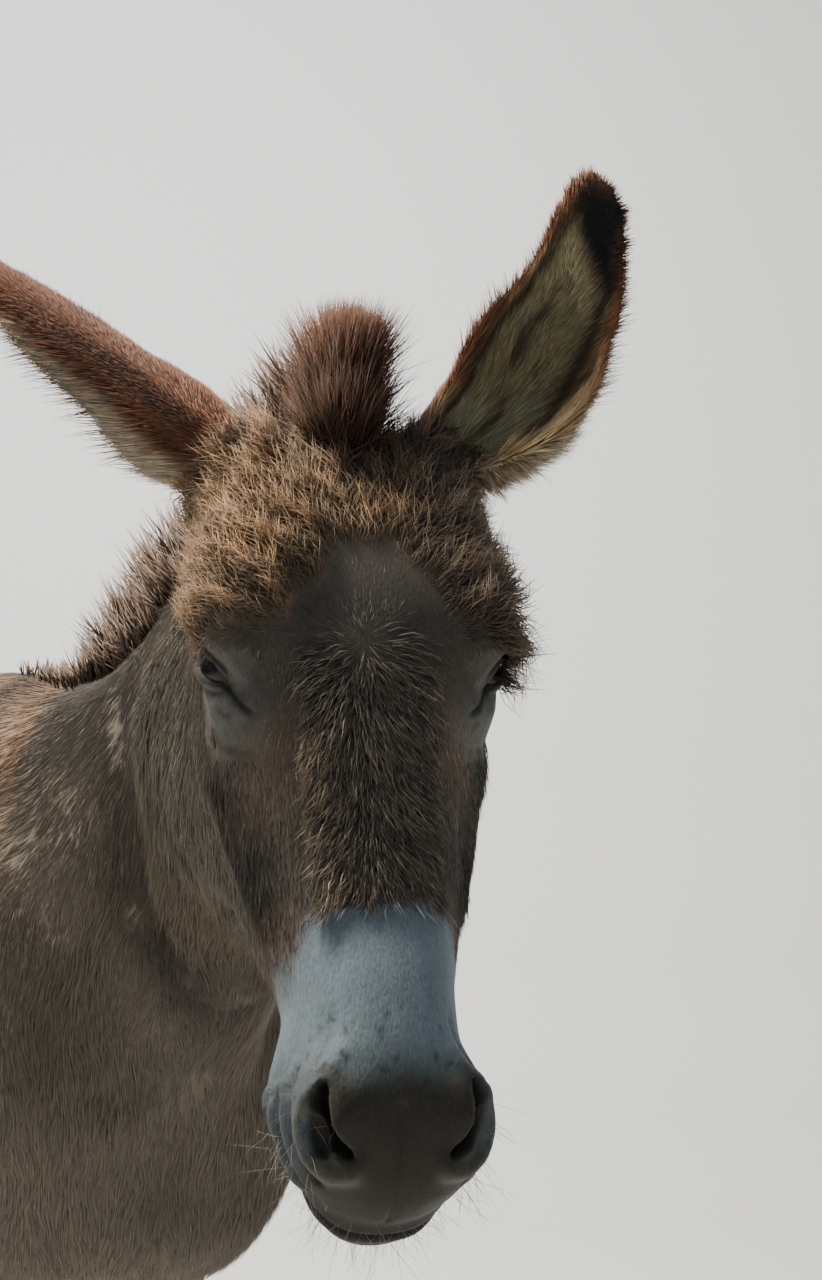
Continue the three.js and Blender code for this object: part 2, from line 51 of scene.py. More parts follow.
# ---- The donkey's stance ---------------------------------------------------------------------
# The whole model is measured from its head. The head hangs at 68 degrees and is turned 23 degrees
# to its right, and its own axes run to its left, up to the poll and out of its forehead.
HEAD_TURN = math.radians(-23)
HEAD_PITCH = math.radians(68)
EYE_PLACE = np.array([0.0, -0.176, -0.040])
LEFT = np.array([math.cos(HEAD_TURN), math.sin(HEAD_TURN), 0.0])
UP_FACE = np.array([-math.sin(HEAD_TURN) * math.cos(HEAD_PITCH),
                    math.cos(HEAD_TURN) * math.cos(HEAD_PITCH), math.sin(HEAD_PITCH)])
OUT_FACE = np.cross(LEFT, UP_FACE)
HEAD_AXES = np.stack([LEFT, UP_FACE, OUT_FACE], axis=1)


def middle_of(node):
    """The middle of a node's box, as an array."""
    low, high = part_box(node)
    return (np.array(low) + np.array(high)) / 2


EYE_CENTRES = {"left": middle_of("eye_left"), "right": middle_of("eye_right")}
POLL = (EYE_CENTRES["left"] + EYE_CENTRES["right"]) / 2 - HEAD_AXES @ EYE_PLACE


def head_place(points):
    """World points given along the head's own axes, from the poll."""
    return (points - POLL) @ HEAD_AXES


def head_to_world(place):
    """The world point of a place on the head's own axes, in metres."""
    return POLL + HEAD_AXES @ np.array(place, float)


# ---- Camera ----------------------------------------------------------------------------------
# A camera with a 76 mm lens stands about 1.9 m off, a little to the donkey's right, level with its
# muzzle and looking slightly up.
LENS_RISE, LENS_TURN = 3.67, -38.28
camera_data = bpy.data.cameras.new("camera")
camera = bpy.data.objects.new("camera", camera_data)
scene.collection.objects.link(camera)
camera_data.sensor_width = 36
camera_data.lens = 75.94
camera_data.clip_start = 0.05
camera_data.clip_end = 60
camera.location = POLL + np.array([-1.10020, -1.46834, -0.26149])
camera.rotation_euler = (math.radians(90 + LENS_RISE), 0, math.radians(LENS_TURN))
scene.camera = camera

# ---- Floor -----------------------------------------------------------------------------------
# A pale matt studio sheet, flat under the donkey and curved up 4.6 m behind it. It lies a hair's
# breadth under the hooves and is not part of the donkey.
FLOOR_TONE = (0.86, 0.85, 0.83)
FLOOR_HALF_WIDTH = 16.0
FLOOR_GAP = 0.0004
floor_profile = [(-14.0, 0.0), (3.2, 0.0), (3.8, 0.06), (4.25, 0.26), (4.5, 0.62), (4.6, 1.1),
                 (4.6, 6.5)]
sight = np.array([0.61820, 0.78341]) / math.hypot(0.61820, 0.78341)
aside = np.array([sight[1], -sight[0]])
floor_points = []
for along, height in floor_profile:
    for side in (-FLOOR_HALF_WIDTH, FLOOR_HALF_WIDTH):
        x, y = sight * along + aside * side
        floor_points.append((x, y, height - FLOOR_GAP))
floor_faces = [(2 * k, 2 * k + 1, 2 * k + 3, 2 * k + 2) for k in range(len(floor_profile) - 1)]
floor_mesh = bpy.data.meshes.new("floor")
floor_mesh.from_pydata(floor_points, [], floor_faces)
floor_mesh.shade_smooth()
floor = bpy.data.objects.new("floor", floor_mesh)
scene.collection.objects.link(floor)
floor_finish = bpy.data.materials.new("floor_sheet")
floor_finish.use_nodes = True
floor_shader = floor_finish.node_tree.nodes["Principled BSDF"]
floor_shader.inputs["Base Color"].default_value = (*FLOOR_TONE, 1)
floor_shader.inputs["Roughness"].default_value = 0.85
# The sheet is clear from behind, so that the donkey can also be looked at from beyond its curve.
nodes, links = floor_finish.node_tree.nodes, floor_finish.node_tree.links
sheet_side = nodes.new("ShaderNodeNewGeometry")
clear = nodes.new("ShaderNodeBsdfTransparent")
either_side = nodes.new("ShaderNodeMixShader")
links.new(sheet_side.outputs["Backfacing"], either_side.inputs["Fac"])
links.new(floor_shader.outputs["BSDF"], either_side.inputs[1])
links.new(clear.outputs["BSDF"], either_side.inputs[2])
links.new(either_side.outputs["Shader"], nodes["Material Output"].inputs["Surface"])
floor_mesh.materials.append(floor_finish)

# ---- Lights ----------------------------------------------------------------------------------
# Four softboxes and a dim, slightly blue room: a warm one high behind the head for the lit edges of
# the hair, two weak ones in front, and one for the sheet behind.
world = bpy.data.worlds.new("studio")
scene.world = world
world.use_nodes = True
world.node_tree.nodes["Background"].inputs["Color"].default_value = (0.74, 0.87, 1.0, 1)
world.node_tree.nodes["Background"].inputs["Strength"].default_value = 0.27


def soft_light(name, place, target, size, power, colour):
    """A square softbox that looks at a point."""
    data = bpy.data.lights.new(name, "AREA")
    data.shape = "SQUARE"
    data.size = size
    data.energy = power
    data.color = colour
    lamp = bpy.data.objects.new(name, data)
    scene.collection.objects.link(lamp)
    lamp.location = place
    away = Vector([place[k] - target[k] for k in range(3)])
    lamp.rotation_mode = "QUATERNION"
    lamp.rotation_quaternion = away.to_track_quat("Z", "Y")


soft_light("light_above", (-1.15, 0.45, 4.0), (-0.1, -0.45, 1.15), 0.8, 330, (1.0, 0.92, 0.80))
soft_light("light_front", (-2.6, -2.6, 2.2), (0.0, -0.3, 0.9), 2.2, 6, (0.78, 0.90, 1.0))
soft_light("light_side", (2.8, -1.2, 2.4), (0.0, 0.0, 0.8), 2.0, 16, (0.92, 0.96, 1.0))
soft_light("light_floor", (0.3, 1.6, 3.4), (2.2, 3.6, 0.6), 2.4, 150, (0.94, 0.97, 1.0))

# ---- Skin ------------------------------------------------------------------------------------
# One closed hide covers the whole body, from the muzzle to the tail and down to the hooves, as on a
# mounted specimen. It is made from the solids' own surfaces, joined and evened out, and lies under
# them by the depth of the coat.
FLESH = ["neck", "head", "trunk", "tail", "ear_left", "ear_right"]
FLESH += [f"{end}leg_{side}_{part}" for end in ("fore", "hind") for side in ("left", "right")
          for part in ("upper", "lower")]
VOXEL = 0.0034
CLOSING = 0.0036
GRID_REACH = 4.0
SKIN_TRIANGLES = 186000


def shape_of(names):
    """The joined points and triangles of some nodes, with the node's number for each triangle."""
    points, triangles, owners, start = [], [], [], 0
    for number, name in enumerate(names):
        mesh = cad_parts[name].data
        mesh.calc_loop_triangles()
        place = np.empty(len(mesh.vertices) * 3, np.float32)
        mesh.vertices.foreach_get("co", place)
        corner = np.empty(len(mesh.loop_triangles) * 3, np.int32)
        mesh.loop_triangles.foreach_get("vertices", corner)
        points.append(place.reshape(-1, 3))
        triangles.append(corner.reshape(-1, 3) + start)
        owners.append(np.full(len(triangles[-1]), number))
        start += len(points[-1])
    return np.concatenate(points), np.concatenate(triangles), np.concatenate(owners)


NO_QUADS = np.zeros((0, 4), np.int32)


def offset_surface(points, triangles, quads, step, way):
    """The surface at a distance way from a closed one, through a grid of distances."""
    grid = openvdb.FloatGrid.createLevelSetFromPolygons(
        points, triangles=triangles, quads=quads,
        transform=openvdb.createLinearTransform(voxelSize=step), halfWidth=GRID_REACH)
    return grid.convertToPolygons(isovalue=way, adaptivity=0.0)


def as_triangles(points, triangles, quads):
    """All faces as triangles with outward normals."""
    faces = np.concatenate([quads[:, [0, 1, 2]], quads[:, [0, 2, 3]]])
    if len(triangles):
        faces = np.concatenate([faces, triangles])
    faces = faces.astype(np.int64)
    a, b, c = (points[faces[:, k]].astype(float) for k in range(3))
    if np.einsum("ij,ij->i", a, np.cross(b, c)).sum() < 0:
        faces = faces[:, ::-1]
    return faces


def edges_of(triangles):
    """Every edge once, as pairs of points."""
    pairs = np.concatenate([triangles[:, [0, 1]], triangles[:, [1, 2]], triangles[:, [2, 0]]])
    pairs.sort(axis=1)
    count = triangles.max() + 1
    codes = np.unique(pairs[:, 0] * count + pairs[:, 1])
    return np.stack([codes // count, codes % count], axis=1)


def spread(values, edges, passes, share=0.5):
    """Values on points, each moved towards the mean of its neighbours' some times."""
    count = len(values)
    ends = np.concatenate([edges[:, 0], edges[:, 1]])
    others = np.concatenate([edges[:, 1], edges[:, 0]])
    degree = np.maximum(np.bincount(ends, minlength=count), 1)
    flat = values.reshape(count, -1).astype(float)
    share = np.asarray(share, float)
    share = share[:, None] if share.ndim else share
    for _ in range(passes):
        mean = np.stack([np.bincount(ends, flat[others, k], count) for k in range(flat.shape[1])], 1)
        flat = flat + share * (mean / degree[:, None] - flat)
    return flat.reshape(values.shape)


def normals_of(points, triangles):
    """Unit normals on the points, weighted by face area."""
    a, b, c = (points[triangles[:, k]] for k in range(3))
    face = np.cross(b - a, c - a)
    total = np.stack([sum(np.bincount(triangles[:, k], face[:, axis], len(points)) for k in range(3))
                      for axis in range(3)], axis=1)
    return total / np.maximum(np.linalg.norm(total, axis=1, keepdims=True), 1e-12)


def step_up(x, low, high):
    """0 below low, 1 above high, and smooth between."""
    t = np.clip((x - low) / (high - low), 0, 1)
    return t * t * (3 - 2 * t)


def hump(x, width, power=2):
    """1 at x = 0, falling to 0 on both sides, flatter on top and steeper for a higher power."""
    return np.exp(-(x / width) ** power)


def new_mesh(name, points, triangles):
    """A smooth-shaded mesh object of triangles."""
    mesh = bpy.data.meshes.new(name)
    mesh.vertices.add(len(points))
    mesh.vertices.foreach_set("co", np.asarray(points, np.float32).ravel())
    mesh.loops.add(len(triangles) * 3)
    mesh.loops.foreach_set("vertex_index", np.asarray(triangles, np.int32).ravel())
    mesh.polygons.add(len(triangles))
    mesh.polygons.foreach_set("loop_start", np.arange(0, len(triangles) * 3, 3, dtype=np.int32))
    mesh.update()
    mesh.shade_smooth()
    piece = bpy.data.objects.new(name, mesh)
    scene.collection.objects.link(piece)
    return piece


def refine(points, triangles, wanted, rounds):
    """Splits the edges that are longer than wanted, a length for each point, a few times over."""
    for _ in range(rounds):
        edges = edges_of(triangles)
        count = len(points)
        length = np.linalg.norm(points[edges[:, 0]] - points[edges[:, 1]], axis=1)
        aim = wanted(points)
        long = np.flatnonzero(length > 1.35 * (aim[edges[:, 0]] + aim[edges[:, 1]]) / 2)
        if not len(long):
            break
        codes = edges[long, 0] * count + edges[long, 1]
        middles = points[edges[long]].mean(axis=1)
        split = []
        for k in range(3):
            pair = np.sort(triangles[:, [k, (k + 1) % 3]], axis=1)
            code = pair[:, 0] * count + pair[:, 1]
            slot = np.minimum(np.searchsorted(codes, code), len(codes) - 1)
            split.append(np.where(codes[slot] == code, count + slot, -1))
        split = np.stack(split, axis=1)
        halved = split >= 0
        made = [triangles[halved.sum(axis=1) == 0]]
        for k in range(3):
            one = halved[:, k] & (halved.sum(axis=1) == 1)
            p, q, r = (triangles[one, (k + turn) % 3] for turn in range(3))
            m = split[one, k]
            made += [np.stack([p, m, r], axis=1), np.stack([m, q, r], axis=1)]
            two = halved[:, k] & halved[:, (k + 1) % 3] & (halved.sum(axis=1) == 2)
            p, q, r = (triangles[two, (k + turn) % 3] for turn in range(3))
            m, n = split[two, k], split[two, (k + 1) % 3]
            made += [np.stack([m, q, n], axis=1), np.stack([p, m, n], axis=1),
                     np.stack([p, n, r], axis=1)]
        every = halved.all(axis=1)
        (p, q, r), (m, n, o) = triangles[every].T, split[every].T
        made += [np.stack([p, m, o], axis=1), np.stack([m, q, n], axis=1), np.stack([o, n, r], axis=1),
                 np.stack([m, n, o], axis=1)]
        points = np.concatenate([points, middles])
        triangles = np.concatenate(made)
    return points, triangles


# The distances are worked out in a space that shrinks away from the head, so that the head and the
# ears get small faces and the rest larger ones.
FINE_MIDDLE = head_to_world((0, -0.16, -0.05))
FINE_REACH = 0.30
BEYOND = np.linspace(0, 2.2, 2001)
SHRUNK = 0.42 * BEYOND + 0.58 * 0.14 * (1 - np.exp(-BEYOND / 0.14))


def shrink(points, back=False):
    """Points in the shrunk space, or back from it."""
    arm = points - FINE_MIDDLE
    reach = np.linalg.norm(arm, axis=1)
    given, wanted = (SHRUNK, BEYOND) if back else (BEYOND, SHRUNK)
    far_reach = FINE_REACH + np.interp(reach - FINE_REACH, given, wanted)
    new_reach = np.where(reach > FINE_REACH, far_reach, reach)
    return FINE_MIDDLE + arm * (new_reach / np.maximum(reach, 1e-9))[:, None]


solid_points, solid_triangles, solid_owner = shape_of(FLESH + ["eye_left", "eye_right"])

# The root of the tail lies against the rump, so the gap between them is filled before the skin is
# made: a stack of ovals in metres, each its depth below the tail's top, the two ends that it reaches
# from the tail's back, and half its width.
DOCK = [(0.024, 0.180, 0.122, 0.022), (0.052, 0.152, 0.108, 0.027), (0.082, 0.128, 0.076, 0.028),
        (0.112, 0.112, 0.056, 0.027), (0.142, 0.100, 0.045, 0.025), (0.172, 0.092, 0.039, 0.022),
        (0.202, 0.086, 0.036, 0.017), (0.230, 0.082, 0.036, 0.009)]
DOCK_SIDES = 16
tail_low, tail_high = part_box("tail")
dock_points, dock_triangles = [], []
for depth, start, end, half in DOCK:
    for turn in np.linspace(0, 2 * math.pi, DOCK_SIDES, endpoint=False):
        dock_points.append(((tail_low.x + tail_high.x) / 2 + half * math.cos(turn),
                            tail_high.y - (start + end) / 2 + (start - end) / 2 * math.sin(turn),
                            tail_high.z - depth))
last = len(DOCK) * DOCK_SIDES
for turn in range(DOCK_SIDES):
    after = (turn + 1) % DOCK_SIDES
    for level in range(0, last - DOCK_SIDES, DOCK_SIDES):
        below = level + DOCK_SIDES
        dock_triangles += [(level + turn, below + turn, level + after),
                           (level + after, below + turn, below + after)]
    dock_triangles += [(last, turn, after),
                       (last + 1, last - DOCK_SIDES + after, last - DOCK_SIDES + turn)]
dock_points += [np.mean(dock_points[:DOCK_SIDES], axis=0), np.mean(dock_points[-DOCK_SIDES:], axis=0)]
flesh_triangles = np.concatenate([solid_triangles, np.array(dock_triangles) + len(solid_points)])
flesh_points = np.concatenate([solid_points, np.array(dock_points)])
flesh_points, flesh_triangles = refine(flesh_points.astype(float), flesh_triangles.astype(np.int64),
                                       lambda points: np.full(len(points), 0.012), 4)
swollen = offset_surface(shrink(flesh_points).astype(np.float32), flesh_triangles.astype(np.int32),
                         NO_QUADS, VOXEL, CLOSING)
skin_points, skin_corners, skin_quads = offset_surface(*swollen, VOXEL, -CLOSING)
skin_points = shrink(skin_points.astype(float), back=True)
skin_triangles = as_triangles(skin_points, skin_corners, skin_quads)
edges = edges_of(skin_triangles)
skin_points = spread(skin_points, edges, 2)

# Each part of the skin is evened out by its own share, and lies its own depth under the coat.
PART_SHARES = {"neck": 1.0, "trunk": 1.0, "head": 0.12, "tail": 0.3, "ear": 0.03, "upper": 0.5,
               "lower": 0.12, "eye": 0.05}
PART_DEPTHS = {"neck": 0.011, "trunk": 0.010, "head": 0.0040, "tail": 0.006, "ear": 0.0010,
               "upper": 0.007, "lower": 0.0035, "eye": 0.0}


def part_of(name):
    """The short name of a node's part: ear_left is an ear, foreleg_left_upper an upper."""
    ends = name.split("_")
    return ends[-1] if ends[-1] in PART_SHARES else ends[0]


tree = BVHTree.FromPolygons(solid_points.tolist(), solid_triangles.tolist())
part_names = np.array([part_of(name) for name in FLESH + ["eye_left", "eye_right"]])


def part_at(points):
    """The part that each point belongs to, by the nearest solid."""
    return part_names[solid_owner[[tree.find_nearest(point)[2] for point in points.tolist()]]]


skin_part = part_at(skin_points)
share = spread(np.array([PART_SHARES[part] for part in skin_part]), edges, 8)
depth = spread(np.array([PART_DEPTHS[part] for part in skin_part]), edges, 10)
depth *= 1 - 0.8 * step_up(-head_place(skin_points)[:, 1], 0.33, 0.40) * (skin_part == "head")
skin_points = spread(skin_points, edges, 36, share * 0.5)
skin_points = skin_points - normals_of(skin_points, skin_triangles) * depth[:, None]
skin_points = spread(skin_points, edges, 2, 0.4)


def skin_spacing(points):
    """The face size that the skin needs at each point: small at the eyes, nostrils and lips."""
    place = head_place(points) * 1000
    half = np.stack([np.abs(place[:, 0]), place[:, 1], place[:, 2]], 1)
    eye = np.linalg.norm(half - [92, -184, -34], axis=1)
    nose = np.linalg.norm(half - [47, -474, -36], axis=1)
    lips = np.abs(place[:, 2] + 92) + 60 * step_up(place[:, 1], -450, -400) + 60 * (place[:, 2] < -160)
    aim = np.full(len(points), 0.02)
    aim = np.minimum(aim, 0.0015 + 0.004 * step_up(eye, 30, 60))
    aim = np.minimum(aim, 0.0018 + 0.004 * step_up(nose, 26, 60))
    aim = np.minimum(aim, 0.0021 + 0.004 * step_up(lips, 24, 60))
    return aim


skin_points, skin_triangles = refine(skin_points, skin_triangles, skin_spacing, 4)
edges = edges_of(skin_triangles)
fine = skin_spacing(skin_points) < 0.0045
skin_points = spread(skin_points, edges, 5, 0.5 * fine)


# ---- Skin: folds and soft forms --------------------------------------------------------------
# The hide is modelled over the joined surface as over a clay form: the folds of lips, nostrils and
# cheeks, the neck's fold, and the soft shapes of shoulder, hip, flank and chest.


def along_path(points, path, facing=None):
    """For each point, its distance to a bent line and how far along it the nearest place is, 0 to 1.
    Where the surface's normals are given, the distance is mostly measured along the surface."""
    path = np.array(path, float)
    best = np.full(len(points), 1e9)
    where = np.zeros(len(points))
    for k in range(len(path) - 1):
        way = path[k + 1] - path[k]
        t = np.clip((points - path[k]) @ way / (way @ way), 0, 1)
        arm = points - path[k] - t[:, None] * way
        if facing is not None:
            arm = arm - facing * (0.85 * np.clip(np.sum(arm * facing, axis=1), -14, 14))[:, None]
        gap = np.linalg.norm(arm, axis=1)
        where = np.where(gap < best, (k + t) / (len(path) - 1), where)
        best = np.minimum(best, gap)
    return best, where


def unit(vector):
    """A vector of length 1 that points the same way."""
    return np.array(vector, float) / np.linalg.norm(vector)


# ---- Skin: ears ------------------------------------------------------------------------------
# The ears are gristle under thin skin. Each has a root, the way that it points and the way that its
# hollow faces, in mm on the head's axes.
EARS = {"left": ((62, -22, -36), (0.53, 0.78, 0.34), (-0.26, -0.42, 0.87)),
        "right": ((-62, -22, -36), (-0.75, 0.66, 0.02), (0.16, -0.05, -0.95))}
EAR_LENGTH = 275.0


def ear_axes(place):
    """For each point, the root of the nearer ear and its unit axes: along, out of the hollow, across."""
    left = place[:, :1] > 0
    root, along, opening = (np.where(left, EARS["left"][k], EARS["right"][k]).astype(float)
                            for k in range(3))
    along /= np.linalg.norm(along, axis=1, keepdims=True)
    opening -= along * np.sum(opening * along, axis=1, keepdims=True)
    opening /= np.linalg.norm(opening, axis=1, keepdims=True)
    return root, along, opening, np.cross(along, opening)


def ear_bend(place, up):
    """How far the left ear bows outwards, in mm."""
    return (place[:, 0] > 0) * 13 * step_up(up, 0.02, 0.3) * (1 - step_up(up, 0.62, 1.0))


def ear_narrow(place, up):
    """The share of its width that each ear loses: the right one is seen from its edge."""
    return np.where(place[:, 0] > 0, 0.12 * step_up(up, 0.42, 0.6),
                    0.10 + 0.34 * step_up(up, 0.15, 0.45))


def ear_place(place, out):
    """How far up the nearer ear each point lies, 0 to 1, how far across, -1 to 1, whether inside its
    hollow, and the ear's axes."""
    root, along, opening, across = ear_axes(place)
    up = np.sum((place - root) * along, axis=1) / EAR_LENGTH
    root = root + across * ear_bend(place, up)[:, None]
    arm = place - root
    up = np.sum(arm * along, axis=1)
    hollow = root + along * up[:, None] + opening * 14
    inside = np.sum((hollow - place) * out, axis=1) > 0
    aside = np.sum(arm * across, axis=1) / (1 - ear_narrow(place, up / EAR_LENGTH))
    width = 34 * np.sin(np.pi * np.clip(0.12 + 0.84 * up / EAR_LENGTH, 0, 1)) ** 0.6
    return up / EAR_LENGTH, aside / np.maximum(width, 8), inside, along, opening, across


# Folds of the head, in mm along the head's own axes, for its left side: each is a bent line, how
# wide it is, and how far it stands out, or lies in where that is below nothing.
FOLDS = [
    ([(38, -404, -26), (44, -428, -29), (53, -441, -33)], 3.0, -2.6),
    ([(36, -425, -18), (46, -447, -22), (56, -452, -32)], 7.0, 2.2),
    ([(52, -415, -52), (56, -432, -54), (64, -453, -56), (62, -478, -61), (55, -499, -60),
      (41, -509, -62)], 2.6, -4.6),
    ([(60, -420, -60), (66, -445, -62), (65, -470, -67), (57, -492, -70), (45, -506, -73)], 3.6, 2.6),
    ([(58, -405, -64), (64, -433, -67), (68, -455, -72), (61, -484, -78), (54, -497, -82),
      (36, -511, -86)], 2.4, -4.4),
    ([(62, -420, -74), (68, -445, -78), (66, -470, -80), (58, -492, -87), (46, -503, -90)], 3.6, 2.4),
    ([(60, -405, -80), (68, -435, -84), (68, -460, -86), (62, -482, -91), (52, -500, -95)], 2.4, -3.6),
    ([(58, -432, -80), (64, -452, -80), (60, -478, -88), (50, -500, -94)], 13.0, 4.0),
    ([(56, -380, -56), (61, -420, -56), (63, -452, -58)], 3.0, -5.0),
    ([(57, -385, -76), (62, -425, -76), (63, -450, -80)], 3.0, -5.0),
    ([(58, -390, -66), (62, -425, -66), (64, -450, -69)], 3.2, 3.6),
    ([(58, -395, -88), (62, -430, -88), (62, -452, -90)], 3.2, 3.2),
    ([(0, -470, -20), (0, -505, -42), (0, -526, -80)], 2.8, -2.6),
    ([(92, -208, -64), (82, -250, -62), (70, -300, -62)], 9.0, 2.0),
    ([(84, -222, -48), (96, -206, -62), (103, -186, -68)], 4.0, -0.9),
    ([(72, -226, -34), (90, -216, -52)], 3.0, -1.2),
    ([(98, -146, -26), (86, -160, -8), (70, -170, -2)], 8.0, 3.0),
]
MOUTH = [(0, -534, -106), (34, -524, -106), (54, -496, -102), (60, -458, -93), (58, -440, -90)]
NOSTRIL = [(50, -452, -21), (53, -466, -25), (50, -480, -29), (43, -490, -31), (35, -497, -33)]

place = head_place(skin_points) * 1000
facing = normals_of(skin_points, skin_triangles) @ HEAD_AXES
on_head = np.abs(place[:, 0]) < 130
on_head &= (place[:, 1] < 20) & (place[:, 2] > -190)
mirror = np.where(place[:, :1] < 0, -1, 1) * [1, 0, 0] + [0, 1, 1]
half = place * mirror
push = np.zeros(len(place))
for path, width, height in FOLDS:
    gap, where = along_path(half, path, facing * mirror)
    on_midline = path[0][0] == 0
    ends = 1 if on_midline else step_up(where, -0.01, 0.15) * step_up(1 - where, -0.01, 0.15)
    beside_lips = path[0][0] > 50 and path[0][1] < -370
    if beside_lips:
        ends = ends * step_up(-half[:, 1], 410, 444)
    push += height * ends * hump(gap, width)
rise = half[:, 2] - np.interp(-half[:, 1], [440, 458, 496, 524, 534], [-90, -93, -102, -106, -106])
mouth_end = step_up(-half[:, 1], 440, 458) * (np.abs(rise) < 40)
push += mouth_end * (-6.5 * hump(rise, 1.7) + 1.8 * hump(rise - 6, 4.5)
                     + 1.4 * hump(rise + 6, 4.5))
gap, where = along_path(half, [(61, -448, -94), (60, -440, -98), (54, -428, -108)])
push += 2.6 * hump(gap, 9) - 2.0 * hump(gap, 2.2)
gap, where = along_path(half, NOSTRIL)
room = 5.6 * np.sin(np.pi * np.clip(0.12 + 0.78 * where, 0, 1)) ** 0.8
wing = along_path(half, [(60, -456, -30), (64, -472, -42), (58, -492, -48), (44, -503, -48),
                         (32, -504, -44)])[0]
push += 5.0 * hump(wing, 6.5)
NECK_FOLD = np.array([(-0.050, -0.372, 1.110), (-0.077, -0.408, 1.035), (-0.079, -0.412, 0.970),
                      (-0.062, -0.418, 0.905)])
fold_gap, fold_where = along_path(skin_points, NECK_FOLD)
deep = -7.0 * hump(fold_gap, 0.016) * step_up(fold_where, 0, 0.2) * step_up(1 - fold_where, 0, 0.2)
# Soft forms of the body, the same on both sides: the shoulder blade and the hollow behind it, the
# point of the shoulder, the elbow, the hip, the hollow of the flank and the furrow of the chest. Each
# is a bent line and a width in metres, and how far it stands out in mm.
BODY_FORMS = [
    ([(0.085, -0.135, 1.045), (0.135, -0.205, 0.90), (0.150, -0.255, 0.80)], 0.034, 6.0),
    ([(0.130, -0.085, 0.98), (0.185, -0.105, 0.84), (0.190, -0.090, 0.72)], 0.040, -6.0),
    ([(0.140, -0.285, 0.765), (0.150, -0.270, 0.735)], 0.030, 6.0),
    ([(0.165, -0.150, 0.665), (0.165, -0.120, 0.640)], 0.030, 6.0),
    ([(0.165, -0.200, 0.720), (0.150, -0.235, 0.640)], 0.030, 5.0),
    ([(0.160, 0.420, 1.030), (0.165, 0.450, 1.010)], 0.030, 8.0),
    ([(0.210, 0.385, 0.930), (0.205, 0.400, 0.820)], 0.055, -9.0),
    ([(0.130, 0.600, 0.985), (0.150, 0.560, 0.860), (0.165, 0.500, 0.720)], 0.045, 6.0),
    ([(0.120, 0.690, 0.900), (0.120, 0.665, 0.760)], 0.028, 5.0),
    ([(0.0, -0.400, 0.840), (0.0, -0.385, 0.740), (0.0, -0.330, 0.640), (0.0, -0.250, 0.610)], 0.016, -9.0),
    ([(0.0, -0.478, 0.862), (0.05, -0.476, 0.862)], 0.034, -6.0),
    ([(0.095, -0.430, 0.980), (0.085, -0.400, 0.860), (0.075, -0.385, 0.800)], 0.022, -6.0),
]
both = skin_points * [0, 1, 1] + np.abs(skin_points) * [1, 0, 0]
for path, width, height in BODY_FORMS:
    deep += height * hump(along_path(both, path)[0], width)
place += facing * (push * on_head + deep)[:, None]
hollow = (1 - step_up(gap, room * 0.55, room * 1.25)) * on_head
place += (np.array([-0.62, 0.45, -0.64]) * mirror) * (hollow * 15)[:, None]
chin = on_head * step_up(-half[:, 2], 84, 112) * step_up(-half[:, 1], 450, 510)
place += (chin * 6)[:, None] * [0, -1, -0.2]
lip_gap = along_path(half, [(46, -462, -112), (40, -492, -114), (26, -512, -112)])[0]
place += facing * (4 * on_head * hump(lip_gap, 16))[:, None]

# ---- Skin: lids ------------------------------------------------------------------------------
# The lids close round the eyeball in a slanting almond, with a heavy upper lid, a soft crease over it
# and the tear groove that runs on towards the nose. Sizes are in mm.
EYE_RADIUS = 19.0
LID_BACK, LID_FRONT = 17.5, 21.0
LID_TOP, LID_FOOT = 4.6, -5.4
EYE_FRAMES = {}
for side, sign in (("left", 1), ("right", -1)):
    out = unit((0.78 * sign, -0.25, 0.58))
    down = unit((-0.47 * sign, -0.84, 0.27))
    down = unit(down - out * (down @ out))
    over = np.cross(down, out) * sign
    middle = head_place(EYE_CENTRES[side][None])[0] * 1000 - down * 7 + [0, 8, 0]
    EYE_FRAMES[side] = out, down, over, middle
    arm = place - middle
    reach = np.linalg.norm(arm, axis=1)
    a, b, c = arm @ down, arm @ over, arm @ out
    here = (reach < 62) & (c > -6)
    length = np.where(a < 0, LID_BACK, LID_FRONT)
    round_off = np.clip(1 - (a / length) ** 2, 0, 1)
    upper = LID_TOP * round_off ** 0.7
    lower = LID_FOOT * round_off ** 0.9
    over_edge = np.maximum(b - upper, lower - b)
    corner = np.hypot(np.maximum(np.abs(a) - length, 0), b)
    outside = np.where(np.abs(a) < length, over_edge, corner)
    lid = EYE_RADIUS + 1.1 + 1.9 * step_up(outside, 0, 2.6)
    blend = step_up(outside, 2.0, 17.0)
    crease = hump(b - upper - 8.5, 2.0) * (b > 0) * step_up(24 - np.abs(a), 0, 10)
    bag = hump(lower - b - 8.5, 2.4) * (b < 0) * step_up(22 - np.abs(a - 4), 0, 10)
    fold = hump(b - upper - 4.2, 2.6) * (b > 0) * step_up(21 - np.abs(a), 0, 8)
    target = np.where(outside < 0, np.minimum(EYE_RADIUS * 0.80, reach), lid)
    groove_gap = along_path(np.stack([a, b, 0 * a], 1),
                            [(18, -1, 0), (27, -1.5, 0), (42, -1.5, 0)])[0]
    moved = target * (1 - blend) + reach * blend + 1.2 * fold - 2.2 * crease - 1.4 * bag
    moved -= 3.4 * hump(groove_gap, 2.0) * (outside > 0)
    stretch = np.where(here, moved / np.maximum(reach, 1e-6), 1)
    place = np.where(here[:, None], middle + arm * stretch[:, None], place)

